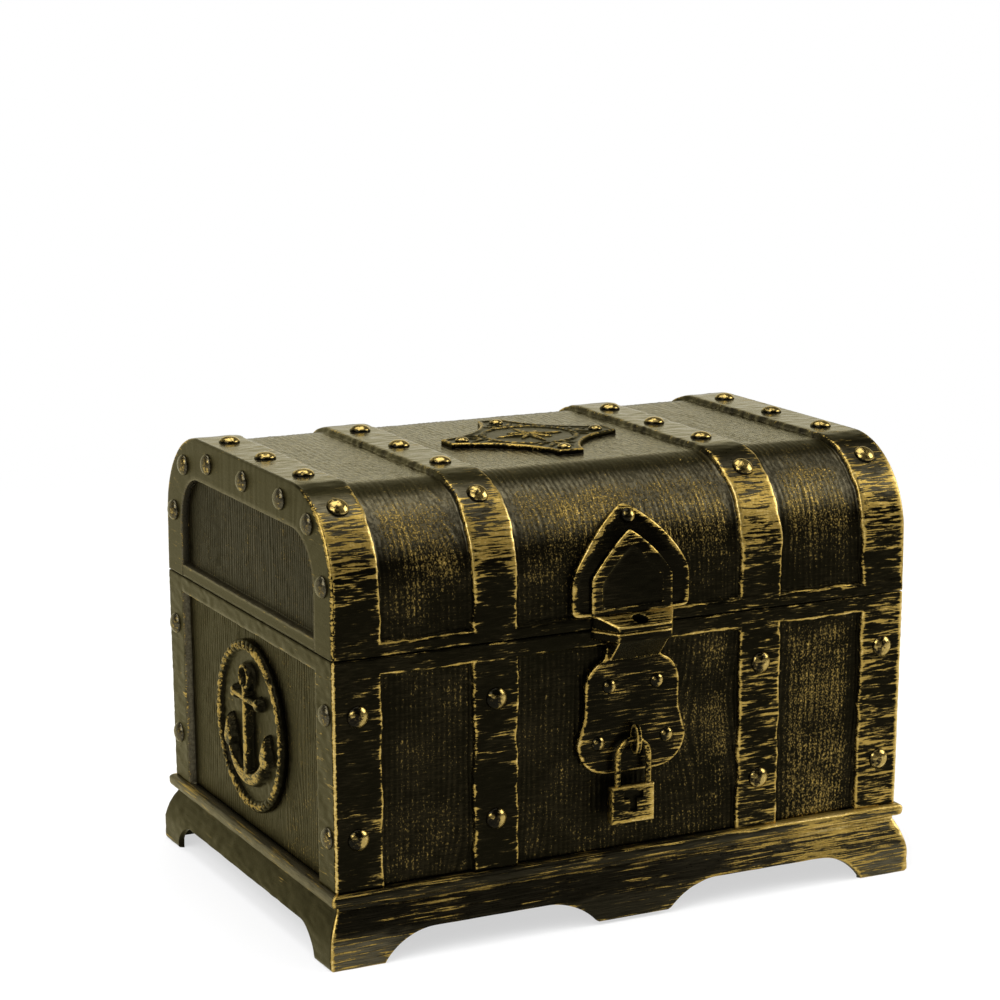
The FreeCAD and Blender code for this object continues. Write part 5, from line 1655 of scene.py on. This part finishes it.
# Soft lights, by name, place, size and power, and the point inside the chest that they face
LIGHTS = (
    ("left_softbox", (-0.75, -0.45, 0.75), 0.7, 8.0),
    ("right_softbox", (0.85, -0.35, 0.55), 0.6, 7.0),
    ("top_softbox", (0.0, 0.15, 1.0), 0.8, 8.0),
)
LIT_POINT = (0.0, 0.0, 0.06)


def soft_light(name, place, size, power):
    """Square soft light that faces the chest."""
    lamp = bpy.data.lights.new(name, "AREA")
    lamp.size = size
    lamp.energy = power
    light = bpy.data.objects.new(name, lamp)
    light.matrix_world = looking(place, np.subtract(place, LIT_POINT))
    bpy.context.scene.collection.objects.link(light)


def looking(place, back, roll=0.0):
    """Placement whose own z axis points back and whose x axis is level, turned by a roll."""
    back = np.asarray(back, float) / np.linalg.norm(back)
    right = np.cross((0.0, 0.0, 1.0), back)
    right = right / np.linalg.norm(right)
    up = np.cross(back, right)
    x_axis = math.cos(roll) * right + math.sin(roll) * up
    y_axis = -math.sin(roll) * right + math.cos(roll) * up
    matrix = np.eye(4)
    matrix[:3, 0], matrix[:3, 1], matrix[:3, 2], matrix[:3, 3] = x_axis, y_axis, back, place
    return Matrix(matrix.tolist())


# The camera's place, its azimuth, elevation and roll in degrees, and its lens in millimetres
CAMERA_PLACE = (-0.319538, -0.623359, 0.237062)
CAMERA_ANGLES = (-26.53539, 11.58895, -0.10705)
SENSOR, LENS = 36.0, 101.917


def make_camera(scene):
    """Camera at the photograph's angle, on a square frame."""
    azimuth, elevation, roll = np.radians(CAMERA_ANGLES)
    back = (math.sin(azimuth) * math.cos(elevation), -math.cos(azimuth) * math.cos(elevation),
            math.sin(elevation))
    lens = bpy.data.cameras.new("view")
    lens.sensor_width = SENSOR
    lens.lens = LENS
    lens.clip_start = 0.01
    camera = bpy.data.objects.new("view", lens)
    camera.matrix_world = looking(CAMERA_PLACE, back, roll)
    scene.collection.objects.link(camera)
    scene.camera = camera


class CHEST_PT_panel(bpy.types.Panel):
    """Lists the chest's pieces, sizes and colours"""
    bl_idname = "CHEST_PT_panel"
    bl_label = "Treasure chest box"
    bl_space_type = "VIEW_3D"
    bl_region_type = "UI"
    bl_category = "Chest"

    def draw(self, context):
        layout = self.layout
        for operator in OPERATORS:
            layout.operator(operator.bl_idname)
        for group in (context.scene.chest_sizes, context.scene.chest_colours):
            box = layout.box()
            for name in group.__annotations__:
                box.prop(group, name)


OPERATORS = (CHEST_OT_box, CHEST_OT_lid, CHEST_OT_plinth, CHEST_OT_studs, CHEST_OT_fittings,
             CHEST_OT_padlock, CHEST_OT_reliefs, CHEST_OT_pins, CHEST_OT_stage)
CLASSES = (ChestSizes, ChestColours, *OPERATORS, CHEST_PT_panel)


def register():
    """Registers the classes and hangs the settings on the scene."""
    for cls in CLASSES:
        bpy.utils.register_class(cls)
    bpy.types.Scene.chest_sizes = PointerProperty(type=ChestSizes)
    bpy.types.Scene.chest_colours = PointerProperty(type=ChestColours)


def unregister():
    """Takes the settings and the classes away again."""
    del bpy.types.Scene.chest_sizes
    del bpy.types.Scene.chest_colours
    for cls in reversed(CLASSES):
        bpy.utils.unregister_class(cls)


def main():
    register()
    bpy.ops.chest.box()
    bpy.ops.chest.lid()
    bpy.ops.chest.plinth()
    bpy.ops.chest.studs()
    bpy.ops.chest.fittings()
    bpy.ops.chest.padlock()
    bpy.ops.chest.reliefs()
    bpy.ops.chest.pins()
    bpy.ops.chest.stage()


if __name__ == "__main__":
    main()
